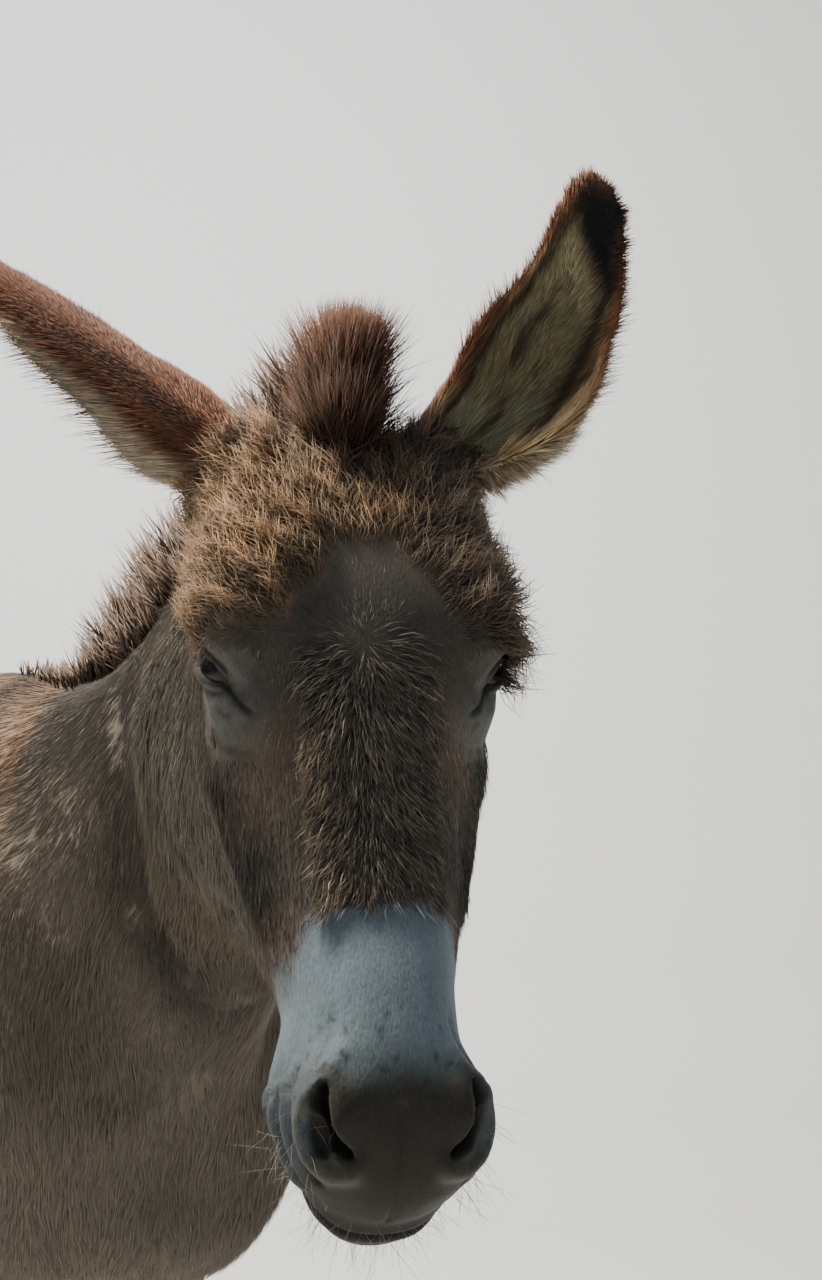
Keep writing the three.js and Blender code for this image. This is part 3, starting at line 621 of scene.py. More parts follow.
# The ears' gristle is narrower than their fur, and the left tip is round.
ear_share = spread((part_at(skin_points) == "ear").astype(float), edges, 6)
root, along, opening, across = ear_axes(place)
up = np.sum((place - root) * along, axis=1) / EAR_LENGTH
aside = np.sum((place - root) * across, axis=1)
left = place[:, 0] > 0
shift = -aside * ear_narrow(place, up) + ear_bend(place, up)
shift -= left * 15 * step_up(up, 0.60, 0.94) * (1 - step_up(aside, -10, 16))
place += across * (shift * ear_share)[:, None]
place -= along * (left * 9 * step_up(up, 0.93, 1.0) * ear_share)[:, None]
skin_points = POLL + (place / 1000) @ HEAD_AXES.T
by_nostril = on_head & (gap < room + 6)
at_tip = ear_share * step_up(up, 0.85, 0.95)
skin_points = spread(skin_points, edges, 3, 0.5 * np.maximum(at_tip, by_nostril))

# ---- Skin: the piece -------------------------------------------------------------------------
# The modelled hide is thinned to fewer faces where it is plain, and gets its map. It takes the place
# of every flesh solid.
rough = new_mesh("rough_skin", skin_points, skin_triangles)
thin = rough.modifiers.new("thin", "DECIMATE")
thin.ratio = min(1.0, SKIN_TRIANGLES / len(skin_triangles))
reduced = bpy.data.meshes.new_from_object(rough.evaluated_get(bpy.context.evaluated_depsgraph_get()))
skin_points = np.empty(len(reduced.vertices) * 3, np.float32)
reduced.vertices.foreach_get("co", skin_points)
skin_points = skin_points.reshape(-1, 3).astype(float)
reduced.calc_loop_triangles()
skin_triangles = np.empty(len(reduced.loop_triangles) * 3, np.int32)
reduced.loop_triangles.foreach_get("vertices", skin_triangles)
skin_triangles = skin_triangles.reshape(-1, 3).astype(np.int64)
bpy.data.objects.remove(rough)
bpy.data.meshes.remove(reduced)

skin = new_mesh("skin", skin_points, skin_triangles)
skin.data.uv_layers.new(name="OFBake")
bpy.context.view_layer.objects.active = skin
skin.select_set(True)
bpy.ops.object.mode_set(mode="EDIT")
bpy.ops.mesh.select_all(action="SELECT")
bpy.ops.uv.smart_project(angle_limit=math.radians(72), island_margin=0.0015)
bpy.ops.object.mode_set(mode="OBJECT")
skin.select_set(False)
corner_uv = np.empty(len(skin_triangles) * 6, np.float32)
skin.data.uv_layers["OFBake"].data.foreach_get("uv", corner_uv)
corner_uv = corner_uv.reshape(-1, 3, 2)

skin_out = normals_of(skin_points, skin_triangles)
skin_part = part_at(skin_points)
skin_face_part = skin_part[skin_triangles[:, 0]]
corners = skin_points[skin_triangles]
sides = corners[:, 1:] - corners[:, :1]
skin_face_area = np.linalg.norm(np.cross(sides[:, 0], sides[:, 1]), axis=1) / 2

# ---- Markings --------------------------------------------------------------------------------
# The coat is grey-brown, dark on the face and paler on the belly and inside the legs. The muzzle and
# the rings round the eyes are off-white, the nostrils and lips dark, the ears and forelock
# rust-brown. Some shade and light are painted in as well: in the nostrils, under the muzzle, in
# hollows and behind the jaw, and on the lit hair tips of the brow and nose bone. Skin and tufts take
# their colours from the same rules, which are places on the animal.


def shade(red, green, blue):
    """A paint-chart colour, 0 to 255, as light."""
    value = np.array([red, green, blue]) / 255
    return np.where(value < 0.04045, value / 12.92, ((value + 0.055) / 1.055) ** 2.4)


GREY_BROWN, FACE_DARK, BACK_BROWN = shade(92, 84, 74), shade(64, 58, 51), shade(118, 92, 70)
PALE, CHEEK, THROAT = shade(128, 119, 104), shade(78, 74, 64), shade(66, 58, 45)
OFF_WHITE, LIP_DARK, RING = shade(88, 100, 107), shade(36, 32, 25), shade(72, 77, 76)
RUST, EAR_DARK, CREAM = shade(90, 54, 32), shade(40, 28, 19), shade(164, 146, 108)
TAN, MANE_DARK, LEG_PALE = shade(186, 150, 112), shade(52, 43, 36), shade(122, 113, 100)
BLACKISH, TIP_BLACK, EAR_PALE = shade(18, 16, 15), shade(14, 12, 10), shade(168, 156, 132)
BRIGHTEST = 0.9
noise_table = np.random.default_rng(11).random((32, 32, 32))


def cloud(points, size, seed=0):
    """Smooth values between 0 and 1 that change over about size metres."""
    p = points / size + seed * 7.31
    low = np.floor(p).astype(int)
    t = p - low
    t = t * t * (3 - 2 * t)
    total = 0
    for i in (0, 1):
        for j in (0, 1):
            for k in (0, 1):
                value = noise_table[(low[:, 0] + i) % 32, (low[:, 1] + j) % 32, (low[:, 2] + k) % 32]
                total = total + value * (t[:, 0] if i else 1 - t[:, 0]) \
                    * (t[:, 1] if j else 1 - t[:, 1]) * (t[:, 2] if k else 1 - t[:, 2])
    return total


def drift(points, size, seeds):
    """Smooth small ways, between -0.5 and 0.5 along each axis."""
    return np.stack([cloud(points, size, seed) for seed in seeds], 1) - 0.5


def mix(one, other, share):
    """Values between one and other, by a share for each point."""
    share = np.asarray(share, float)[:, None]
    return one * (1 - share) + other * share


def muzzle_white(points):
    """1 where the muzzle is off-white, 0 where the dark face begins."""
    place = head_place(points) * 1000
    x, y, z = np.abs(place[:, 0]), -place[:, 1], -place[:, 2]
    edge = 335 + 14 * (cloud(points, 0.010, 5) - 0.5) + 8 * (cloud(points, 0.003, 6) - 0.5)
    edge = edge + 36 * step_up(z, 24, 62) - 5 * step_up(x, 8, 26) + 30 * step_up(z, 90, 150)
    soft = 5 + 16 * step_up(z, 22, 60)
    return step_up(y, edge - soft, edge + soft)


def brow_shade(x, y, z):
    """1 in the hollow between the eyes, under the brow. x is the distance from the midline."""
    return hump(y + 122, 34) * (1 - step_up(x, 60, 100)) * step_up(z, -60, -30)


def brow_cover(points):
    """1 over the brow and the forehead, where the coat is long and curly, with tips that are partly
    bleached and partly painted as lit.
    """
    place = head_place(points) * 1000
    x, y = place[:, 0], place[:, 1]
    edge = -84 - 64 * step_up(np.abs(x - 8), 6, 72) - 14 * step_up(x, 80, 96)
    edge += 26 * (cloud(points, 0.016, 7) - 0.5)
    return step_up(y, edge - 8, edge + 10) * (1 - step_up(y, 0, 40)) * step_up(place[:, 2], -84, -46)


LID_OUT, LID_DOWN, LID_OVER, LID_MIDDLE = EYE_FRAMES["left"]
LID_LINES = []
for height in (LID_TOP, LID_FOOT):
    LID_LINES.append([])
    for step in np.linspace(-1, 1, 11):
        a, b = (LID_BACK if step < 0 else LID_FRONT) * step, height * (1 - step * step) ** 0.8
        c = math.sqrt((EYE_RADIUS + 3) ** 2 - 0.9 * a * a - b * b)
        LID_LINES[-1].append(LID_MIDDLE + LID_DOWN * a + LID_OVER * b + LID_OUT * c)


def body_tone(points, out_world, part, half):
    """The body's coat: brown back, grey-brown sides, pale belly and inner legs, a dark stripe along the
    back and across the shoulders, and a painted shadow on the neck behind the jaw."""
    wx, wy, wz = points.T
    root = np.ones((len(points), 1)) * GREY_BROWN
    back = step_up(wz - 0.35 * np.abs(wx), 0.86, 1.04) * step_up(wy + 0.55 * (1.09 - wz), -0.26, -0.235)
    root = mix(root, BACK_BROWN, 0.85 * back)
    root = mix(root, BACK_BROWN, 0.30 * step_up(wy, -0.2, 0.1) * step_up(wz, 0.62, 0.8))
    belly = step_up(0.70 - wz, 0, 0.10) * (1 - step_up(0.60 - wz, 0, 0.10)) * (np.abs(wx) < 0.19)
    belly *= (part != "tail") * step_up(-out_world[:, 2], -0.15, 0.45)
    root = mix(root, PALE, 0.8 * belly)
    root = mix(root, MANE_DARK, 0.85 * step_up(-wz, -0.84, -0.73) * (part == "tail"))
    root = mix(root, PALE, 0.2 * step_up(-wy, 0.28, 0.40) * step_up(0.86 - wz, 0, 0.14))
    inner_leg = step_up(-out_world[:, 0] * np.sign(wx), 0.1, 0.6) * (wz < 0.62)
    root = mix(root, LEG_PALE, 0.8 * inner_leg)
    root = mix(root, shade(98, 84, 74), 0.55 * step_up(0.30 - wz, 0, 0.18))
    stripe = hump(wx, 0.016) * step_up(wy, -0.33, -0.25) * step_up(wz, 0.9, 1.0)
    cross = hump(wy + 0.19, 0.018) * step_up(wz, 0.84, 0.98)
    root = mix(root, MANE_DARK, 0.75 * np.clip(stripe + cross, 0, 1))

    # Painted shadow: the neck just behind the jaw is painted dark, as the shade that the head casts on it.
    jaw_shadow_gap = along_path(half, [(112, -120, -200), (105, -216, -238), (69, -284, -262),
                                (30, -330, -262)])[0]
    return mix(root, shade(30, 26, 20), 0.9 * hump(jaw_shadow_gap, 56, 4) * (part == "neck"))


def face_tone(points, half, speckle):
    """The face: dark from the cheeks inwards, with painted shade down its sides, under the brow, on the
    muzzle's sides, in the nostrils and under the muzzle's end, then the off-white muzzle with its dark
    lips and nostrils, then the eyes with their rings."""
    x, y, z = half.T
    face = mix(np.ones((len(points), 1)) * CHEEK, FACE_DARK, step_up(z, -130, -60))
    # Painted shade: the hollow down the side of the face, below the eye, is painted much darker.
    side_hollow_shade = along_path(half, [(78, -236, -58), (70, -300, -70), (62, -350, -72)])[0]
    face = mix(face, FACE_DARK * 0.40, 0.92 * hump(side_hollow_shade, 26, 4))
    face = mix(face, THROAT, step_up(-z, 190, 260))
    # Painted shade: the forehead between the eyes, under the overhanging brow, is painted dark.
    under_brow_shade = hump(y + 122, 26) * (1 - step_up(x, 50, 90)) * step_up(z, -60, -30)
    face = mix(face, shade(44, 43, 41), 0.85 * under_brow_shade)
    by_nose = hump(x - 64, 18) * step_up(-y, 190, 215) * (1 - step_up(-y, 230, 290))
    face = mix(face, shade(96, 80, 66), 0.5 * by_nose)
    face = mix(face, shade(84, 77, 68), 0.6 * step_up(y, -150, -110))
    face = mix(face, shade(86, 68, 58), 0.55 * step_up(-y, 310, 340) * step_up(-z, 22, 50))
    face = mix(face, OFF_WHITE * (0.92 + 0.16 * speckle)[:, None], muzzle_white(points))
    band = -y - 452 - 10 * (cloud(points, 0.02, 2) - 0.5) + 7 * (x / 50) ** 2
    wing = step_up(x, 46, 58) * (1 - step_up(-y, 478, 500)) * step_up(z, -64, -40)
    face = mix(face, shade(64, 68, 66), 0.55 * step_up(band, -34, 0))
    face = mix(face, LIP_DARK, 0.97 * step_up(band, -16, 12) * (1 - 0.35 * wing))
    # The lips are dark skin, and they and the muzzle's front end are painted darker still, as painted shade
    # where they face down.
    lips = step_up(-y, 456, 482) * step_up(-z, 86, 104)
    face = mix(face, shade(24, 21, 16), 0.92 * np.maximum(lips, step_up(-y, 496, 515)))
    face = mix(face, shade(70, 64, 56), 0.5 * step_up(-y, 420, 440) * step_up(-z, 120, 140))
    # The muzzle's sides are painted a darker speckled off-white: partly their own tone, partly painted
    # shade.
    shaded_muzzle_sides = step_up(x, 44, 58) * step_up(-y, 400, 440) * (1 - step_up(-y, 484, 506)) * step_up(z, -100, -88)
    face = mix(face, OFF_WHITE * (0.44 + 0.26 * speckle)[:, None], 0.70 * shaded_muzzle_sides)
    roll = along_path(half, [(62, -456, -30), (67, -472, -44), (60, -494, -50), (45, -506, -50),
                             (32, -506, -46)])[0]
    face = mix(face, shade(60, 60, 53), 0.7 * hump(roll, 9, 4))
    specks = step_up(cloud(points, 0.0042, 12), 0.76, 0.84) * step_up(-y, 385, 430) * step_up(z, -90, -40)
    face = mix(face, LIP_DARK, 0.7 * specks)
    # Painted shade: the insides of the nostrils are painted near black, and their inner walls dark.
    nostril_pit_shade = along_path(half, np.array(NOSTRIL) + [-6.5, 5, -7])[0]
    face = mix(face, BLACKISH * 0.6, 0.98 * hump(nostril_pit_shade, 10.0, 4))
    wall = along_path(half, [(53, -461, -30), (50, -475, -42), (47, -489, -46)])[0]
    face = mix(face, shade(26, 24, 21), 0.9 * hump(wall, 6.0, 4))
    mouth = along_path(half, np.array(MOUTH) + [-2, 2, 0])[0]
    face = mix(face, BLACKISH, 0.75 * hump(mouth, 3.0))

    # Round the eyes: a faint wide ring, a clear one under the lower lid, dark lid rims and tear line.
    wide = hump(np.linalg.norm((half - [90, -180, -26]) * [1, 0.9, 1], axis=1), 36, 4)
    under = hump(np.linalg.norm((half - [92, -202, -40]) * [1, 0.9, 1], axis=1), 22)
    inner = hump(along_path(half, [(88, -170, -16), (80, -192, -18), (74, -214, -24)])[0], 10)
    ring = np.clip(0.04 * wide + 0.50 * under + 0.32 * inner, 0, 0.8)
    face = mix(face, RING, ring * (0.35 + 1.1 * step_up(speckle, 0.2, 0.8)))
    arm = half - LID_MIDDLE
    tear = hump(arm @ LID_OVER + 1.5, 2.6) * step_up(arm @ LID_DOWN, 14, 20)
    tear *= 1 - step_up(arm @ LID_DOWN, 36, 50)
    face = mix(face, BLACKISH, 0.85 * tear * (np.linalg.norm(arm, axis=1) < 60))
    face = mix(face, BLACKISH, 0.6 * under * step_up(cloud(points, 0.0045, 14), 0.74, 0.84))
    for line in LID_LINES:
        face = mix(face, BLACKISH, 0.85 * hump(along_path(half, line)[0], 2.4))
    return face


def ear_tone(points, place, out, speckle):
    """The ears: rust-brown outside with a dark patch, the right ear's back painted darker as shade, cream
    inside with rust-brown rims, a black tip and a painted shadow along the fold of the hollow. Also
    where the points lie on the ear: how far up, how near an edge, and whether inside."""
    side = place[:, 0]
    every = np.ones((len(points), 1))
    up, aside, inside = ear_place(place, out)[:3]
    edge = np.where((side > 0) & (aside > 0), aside / 1.3, np.abs(aside))
    dark = hump(up - 0.36, 0.26) * hump(aside - 0.28, 0.38)
    dark = np.clip(1.25 * dark, 0, 0.92) * step_up(cloud(points, 0.03, 9), 0.05, 0.45)
    outer = mix(every * RUST, EAR_DARK, dark)
    # Painted shade: the right ear's back, which faces away from the light, is painted darker and redder.
    outer = mix(outer, outer * [0.75, 0.6, 0.5], side < 0)
    outer = mix(outer, EAR_DARK, 0.35 * step_up(speckle, 0.55, 0.75))
    right_edge = step_up(aside, 0.92, 1.10) * step_up(0.9 - up, 0, 0.2) * (side < 0)
    outer = mix(outer, EAR_PALE, 0.9 * right_edge)
    left_corner = step_up(aside, 0.5, 0.8) * (1 - step_up(up, 0.24, 0.40)) * (side > 0)
    outer = mix(outer, EAR_PALE, 0.8 * left_corner)
    hollow = mix(every * CREAM, EAR_DARK, 0.85 * hump(edge - 0.74, 0.13))
    hollow = mix(hollow, TIP_BLACK, step_up(up + 0.10 * np.clip(aside, -1, 1), 0.72, 0.80))
    pale_rim = (side > 0) * (aside > 0) * (1 - step_up(up, 0.30, 0.58))
    rusty = step_up(edge, 0.84 - 0.2 * step_up(up, 0.6, 0.8), 0.97) * (1 - 0.8 * pale_rim)
    hollow = mix(hollow, RUST, 0.95 * np.maximum(rusty, step_up(up, 0.90, 0.95)))
    # Painted shadow: a dark, winding line along the fold deep in the ear's hollow.
    crease = hump(aside + 0.02 - 0.16 * np.sin(up * 9), 0.13)
    crease *= step_up(up, 0.08, 0.2) * (1 - step_up(up, 0.5, 0.72))
    hollow = mix(hollow, TIP_BLACK, 0.8 * crease * step_up(cloud(points, 0.02, 4), 0.15, 0.6))
    ear = np.where(inside[:, None], hollow, outer)
    return mix(ear, shade(120, 100, 82), 1 - step_up(up, 0.02, 0.16)), up, edge, inside


def markings(points, out_world, part):
    """The coat's colour at its roots and at its tips, for points on the skin."""
    place = head_place(points) * 1000
    side, y, z = place.T
    x = np.abs(side)
    half = np.stack([x, y, z], 1)
    patchy, speckle = cloud(points, 0.05, 3), cloud(points, 0.006, 8)
    head = (1 - step_up(y, 10, 60)) * step_up(z, -330, -190) * (1 - step_up(x, 140, 170))
    head *= step_up(-points[:, 1], 0.36, 0.46)
    ear, up, edge, inside = ear_tone(points, place, out_world @ HEAD_AXES, speckle)
    is_ear = part == "ear"
    root = mix(body_tone(points, out_world, part, half), face_tone(points, half, speckle), head)
    root = mix(root, ear, is_ear)

    # The tips are lighter than the roots, less so under the brow, where shade is painted. The brow's tan
    # tips are partly bleaching and partly painted highlight, and a highlight is painted down the nose
    # bone's right edge.
    brow = brow_cover(points) * head * ~is_ear
    # Partly bleaching, partly painted highlight from above; weaker on the animal's left side, as painted
    # shade there.
    bleached_and_lit_tips = brow * (1 - 0.72 * step_up(side, 22, 48))
    bleached_and_lit_tips *= 0.30 + 0.70 * step_up(cloud(points, 0.012, 15), 0.28, 0.62)
    middle = hump(side - 10, 20) * step_up(y, -52, -28)
    shaded = brow_shade(x, y, z)
    lighter = np.where(head > 0.5, 1.9, 1.15) - 0.5 * shaded * head
    tip = np.clip(root * lighter[:, None] + 0.006, 0, BRIGHTEST)
    tip = mix(tip, TAN * (0.75 + 0.5 * speckle)[:, None], bleached_and_lit_tips * (0.95 - 0.7 * middle))
    # The brow's roots are darker, partly painted shade deep among the curls.
    root = mix(root, shade(66, 54, 44), 0.8 * brow)
    # Painted highlight: the hair tips along the right edge of the nose bone are painted pale, as lit.
    ridge_highlight = hump(side + 33, 11) * step_up(-y, 205, 225) * (1 - step_up(-y, 320, 340))
    ridge_highlight *= step_up(z, -34, -20)
    tip = mix(tip, shade(160, 140, 116), 0.8 * ridge_highlight * step_up(speckle, 0.25, 0.6) * ~is_ear)
    tip = mix(tip, shade(128, 84, 52), 0.30 * is_ear * (~inside | (edge > 0.84)))
    tip = np.where((is_ear & inside & (edge < 0.7) & (up < 0.76))[:, None], tip * 1.5, tip)
    light = (0.84 + 0.32 * patchy)[:, None]
    return root * light, np.clip(tip * light, 0, BRIGHTEST)


skin_root, skin_tip = markings(skin_points, skin_out, skin_part)


def paint(piece, colours):
    """Keeps a colour for each point of a piece."""
    layer = piece.data.attributes.new("coat_tone", "FLOAT_COLOR", "POINT")
    layer.data.foreach_set("color", np.concatenate([colours, np.ones((len(colours), 1))], 1)
                           .astype(np.float32).ravel())


paint(skin, mix(skin_root, skin_tip, np.full(len(skin_root), 0.25)))

# ---- Hair materials --------------------------------------------------------------------------
# Dull hair with a faint sheen. One group gives every kind of hair its colour, the coat's own tone
# broken up a little from place to place, and the streaks' height for the skin's fine relief.
tone_group = bpy.data.node_groups.new("hair_tone", "ShaderNodeTree")
for label, kind, way in (("Tone", "NodeSocketColor", "INPUT"), ("Grain", "NodeSocketFloat", "INPUT"),
                         ("Variation", "NodeSocketFloat", "INPUT"), ("Colour", "NodeSocketColor", "OUTPUT"),
                         ("Height", "NodeSocketFloat", "OUTPUT")):
    tone_group.interface.new_socket(name=label, in_out=way, socket_type=kind)
nodes, links = tone_group.nodes, tone_group.links
taken, given = nodes.new("NodeGroupInput"), nodes.new("NodeGroupOutput")
where = nodes.new("ShaderNodeTexCoord")
laid = nodes.new("ShaderNodeMapping")
laid.inputs["Scale"].default_value = (1.0, 0.7, 0.3)
streak = nodes.new("ShaderNodeTexNoise")
streak.inputs["Detail"].default_value = 3.0
links.new(where.outputs["Object"], laid.inputs["Vector"])
links.new(laid.outputs["Vector"], streak.inputs["Vector"])
links.new(taken.outputs["Grain"], streak.inputs["Scale"])
swing = nodes.new("ShaderNodeMath")
swing.operation = "SUBTRACT"
swing.inputs[1].default_value = 0.5
links.new(streak.outputs["Fac"], swing.inputs[0])
scaled = nodes.new("ShaderNodeMath")
scaled.operation = "MULTIPLY_ADD"
scaled.inputs[2].default_value = 1.0
links.new(swing.outputs[0], scaled.inputs[0])
links.new(taken.outputs["Variation"], scaled.inputs[1])
toned = nodes.new("ShaderNodeVectorMath")
toned.operation = "SCALE"
links.new(taken.outputs["Tone"], toned.inputs[0])
links.new(scaled.outputs[0], toned.inputs["Scale"])
links.new(toned.outputs["Vector"], given.inputs["Colour"])
links.new(streak.outputs["Fac"], given.inputs["Height"])


def hair_finish(name, grain, variation, roughness, bump):
    """A coat material. Its tone comes from the piece's own colours."""
    finish = bpy.data.materials.new(name)
    finish.use_nodes = True
    nodes, links = finish.node_tree.nodes, finish.node_tree.links
    shader = nodes["Principled BSDF"]
    tone = nodes.new("ShaderNodeAttribute")
    tone.attribute_name = "coat_tone"
    group = nodes.new("ShaderNodeGroup")
    group.node_tree = tone_group
    group.inputs["Grain"].default_value = grain
    group.inputs["Variation"].default_value = variation
    links.new(tone.outputs["Color"], group.inputs["Tone"])
    links.new(group.outputs["Colour"], shader.inputs["Base Color"])
    shader.inputs["Roughness"].default_value = roughness
    shader.inputs["Specular IOR Level"].default_value = 0.2
    shader.inputs["Sheen Weight"].default_value = 0.04
    shader.inputs["Sheen Roughness"].default_value = 0.5
    if bump:
        raised = nodes.new("ShaderNodeBump")
        raised.inputs["Strength"].default_value = bump
        raised.inputs["Distance"].default_value = 0.001
        links.new(group.outputs["Height"], raised.inputs["Height"])
        links.new(raised.outputs["Normal"], shader.inputs["Normal"])
    return finish


skin.data.materials.append(hair_finish("short_coat", 700.0, 0.9, 0.62, 0.55))
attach(skin, "root")
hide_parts(*FLESH)

# ---- Coat ------------------------------------------------------------------------------------
# The coat is hair that lies along the body and overlaps. Every lock of it is a thin tapered tuft, a
# closed three-sided spike rooted just inside the skin, and takes its place on the skin's own map.
COAT = hair_finish("coat_tufts", 260.0, 0.5, 0.55, 0.0)
TUFT_PATCH = 0.003
PIECE_TRIANGLES = 196000


def project(vectors, out):
    """Vectors laid flat on a surface with the given normals, as unit vectors."""
    flat = vectors - out * np.sum(vectors * out, axis=1, keepdims=True)
    return flat / np.maximum(np.linalg.norm(flat, axis=1, keepdims=True), 1e-6)


def scatter(count, area, generator):
    """Faces picked evenly by area, and a random place on each as shares of its three corners."""
    total = np.cumsum(area)
    picks = (np.arange(count) + generator.random(count)) / count * total[-1]
    face = np.minimum(np.searchsorted(total, picks), len(total) - 1)
    r, s = np.sqrt(generator.random(count)), generator.random(count)
    return face, np.stack([1 - r, r * (1 - s), r * s], 1)


def sow(count, density, seed):
    """Places on the skin, spread evenly by area times density, a number for each face."""
    generator = np.random.default_rng(seed)
    face, weight = scatter(count, skin_face_area * density, generator)
    corners = skin_triangles[face]
    spot = np.einsum("nk,nkj->nj", weight, skin_points[corners])
    out = np.einsum("nk,nkj->nj", weight, skin_out[corners])
    out /= np.linalg.norm(out, axis=1, keepdims=True)
    uv = np.einsum("nk,nkj->nj", weight, corner_uv[face])
    return spot, out, uv, skin_part[corners[:, 0]], generator


def grow(name, spot, out, lie, uv, tone, tip_tone, length, width, lift, settle, rings, generator,
         curl=0.0, turns=1.0, sink=0.0008, stands_for=(), core=None):
    """Tufts as closed three-sided spikes. lift is the angle at the root in degrees, and settle the
    share of it lost towards the tip. length and width are in metres, and width may be one number."""
    count = len(spot)
    width = np.broadcast_to(width, count)
    aside = np.cross(out, lie)
    turn = generator.random(count) * 2 * np.pi
    centre = spot - out * sink
    last, points, tints = 0.0, [], []
    jitter = 0.72 + 0.56 * generator.random(count)
    for k, t in enumerate(np.linspace(0, 1, rings + 1)):
        angle = np.radians(lift) * (1 - settle * t)
        way = lie * np.cos(angle)[:, None] + out * np.sin(angle)[:, None]
        centre = centre + way * (length * (t - last))[:, None]
        last = t
        wave = curl * length * t
        phase = turn + turns * 2 * np.pi * t
        bent = centre + aside * (wave * np.sin(phase))[:, None] \
            + out * (0.6 * wave * (1 + np.cos(phase)))[:, None]
        colour = mix(tone, tip_tone, np.full(count, t ** 1.3)) * jitter[:, None]
        if k == rings:
            points.append(bent[:, None])
            tints.append(colour[:, None])
            continue
        round_off = (1 - 0.55 * t ** 1.5) if k else 0.8
        half = (width / 2 * round_off)[:, None]
        points.append(np.stack([bent + aside * half, bent - aside * half, bent + out * half * 0.8], 1))
        tints.append(np.repeat(colour[:, None], 3, axis=1))
    points, tints = np.concatenate(points, 1), np.concatenate(tints, 1)
    size = points.shape[1]
    faces = [(0, 1, 2)]
    for p in range(0, 3 * (rings - 1), 3):
        for i in range(3):
            j = (i + 1) % 3
            faces += [(p + i, p + 3 + i, p + j), (p + j, p + 3 + i, p + 3 + j)]
    p = 3 * (rings - 1)
    faces += [(p, size - 1, p + 1), (p + 1, size - 1, p + 2), (p + 2, size - 1, p)]
    faces = np.array(faces)
    spread_uv = np.array([[across, k / rings] for k in range(rings) for across in (0.0, 0.5, 1.0)]
                         + [[0.5, 1.0]]) - 0.5
    at_most = PIECE_TRIANGLES // len(faces)
    for part, start in enumerate(range(0, count, at_most)):
        some = slice(start, min(count, start + at_most))
        number = len(points[some])
        triangles = (faces[None] + (np.arange(number) * size)[:, None, None]).reshape(-1, 3)
        spots = points[some].reshape(-1, 3)
        colours = tints[some].reshape(-1, 3)
        uvs = (uv[some][:, None] + spread_uv[None] * TUFT_PATCH).reshape(-1, 2)
        if core is not None and part == 0:
            triangles = np.concatenate([triangles, core[1] + len(spots)])
            spots = np.concatenate([spots, core[0]])
            colours = np.concatenate([colours, core[2]])
            uvs = np.concatenate([uvs, core[3]])
        piece = new_mesh(name if count <= at_most else f"{name}_{part + 1}", spots, triangles)
        layer = piece.data.uv_layers.new(name="OFBake")
        layer.data.foreach_set("uv", uvs[triangles.ravel()].astype(np.float32).ravel())
        paint(piece, colours)
        piece.data.materials.append(COAT)
        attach(piece, "root")
        if stands_for and part == 0:
            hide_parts(*stands_for)


def lay_of_coat(points, out, part):
    """The direction in which the coat lies, on the skin, as unit vectors."""
    place = head_place(points) * 1000
    x, y, z = place.T
    wx, wy, wz = points.T
    every = np.ones((len(points), 1))
    body = mix(every * [0, 0.75, -0.65], every * [0, 0.45, -0.9], step_up(-wy, 0.20, 0.36))
    chest = step_up(-out[:, 1], 0.3, 0.8) * step_up(-wz, -1.0, -0.85)
    body = mix(body, every * [0, 0, -1], chest)
    body = mix(body, every * [0, 0.08, -1], step_up(-wz, -0.64, -0.54))

    # The face: down below the whorl between the eyes, up above it, out of it all round, and down and
    # back over the cheeks.
    apart = np.clip(x / 40, -1, 1) * 0.45 * np.exp(-np.abs(x) / 40)
    below = np.stack([apart, -1 + 0 * x, -0.1 + 0 * x], 1)
    over = np.stack([np.clip(x / 60, -1, 1) * 0.8, 0.6 + 0 * x, 0 * x], 1)
    whorl = np.stack([x, y + 160, 0 * x], 1)
    whorl /= np.maximum(np.linalg.norm(whorl, axis=1, keepdims=True), 1e-6)
    face = mix(below, over, step_up(y, -170, -140))
    face = mix(face, whorl, np.exp(-((x ** 2 + (y + 160) ** 2) / 46 ** 2)))
    face = mix(face, every * [0, -0.93, -0.375], step_up(-z, 30, 80))
    head = (1 - step_up(y, 10, 60)) * step_up(z, -330, -190) * (np.abs(x) < 150)
    flow = mix(body, face @ HEAD_AXES.T, head)

    # The ears: from root to tip and out to both rims, and hanging at the left ear's lower corner.
    up, aside, _, axis, _, across = ear_place(place, out @ HEAD_AXES)
    corner = (1 - step_up(up, 0.10, 0.30)) * step_up(aside, 0.3, 0.7) * (x > 0)
    fan = axis * (1 - 1.5 * corner)[:, None] + across * (0.9 * aside)[:, None]
    flow = np.where((part == "ear")[:, None], fan @ HEAD_AXES.T, flow)
    flow = flow + 0.55 * drift(points, 0.03, (1, 2, 6)) + 0.5 * drift(points, 0.008, (1, 2, 6))
    return project(flow, out)


def coat_places(count, density, seed):
    """Sown places with their map places, the coat's lie, its root and tip tones, and the dice."""
    spot, out, uv, part, dice = sow(count, density, seed)
    tone, tip = markings(spot, out, part)
    return spot, out, uv, lay_of_coat(spot, out, part), tone, tip, dice


# Where each kind of coat grows, as a share for each face of the skin.
face_middle = corners.mean(axis=1)
face_place = head_place(face_middle) * 1000
fx, fy, fz = np.abs(face_place[:, 0]), face_place[:, 1], face_place[:, 2]
is_ear = skin_face_part == "ear"
is_head = (fy < 40) & (fz > -215) & (fx < 150) & (face_middle[:, 1] < -0.40) & ~is_ear
is_front = ~is_ear & ~is_head & (face_middle[:, 1] < -0.16) & (face_middle[:, 2] > 0.60)
is_rest = ~is_ear & ~is_head & ~is_front
brow = brow_cover(face_middle) * is_head

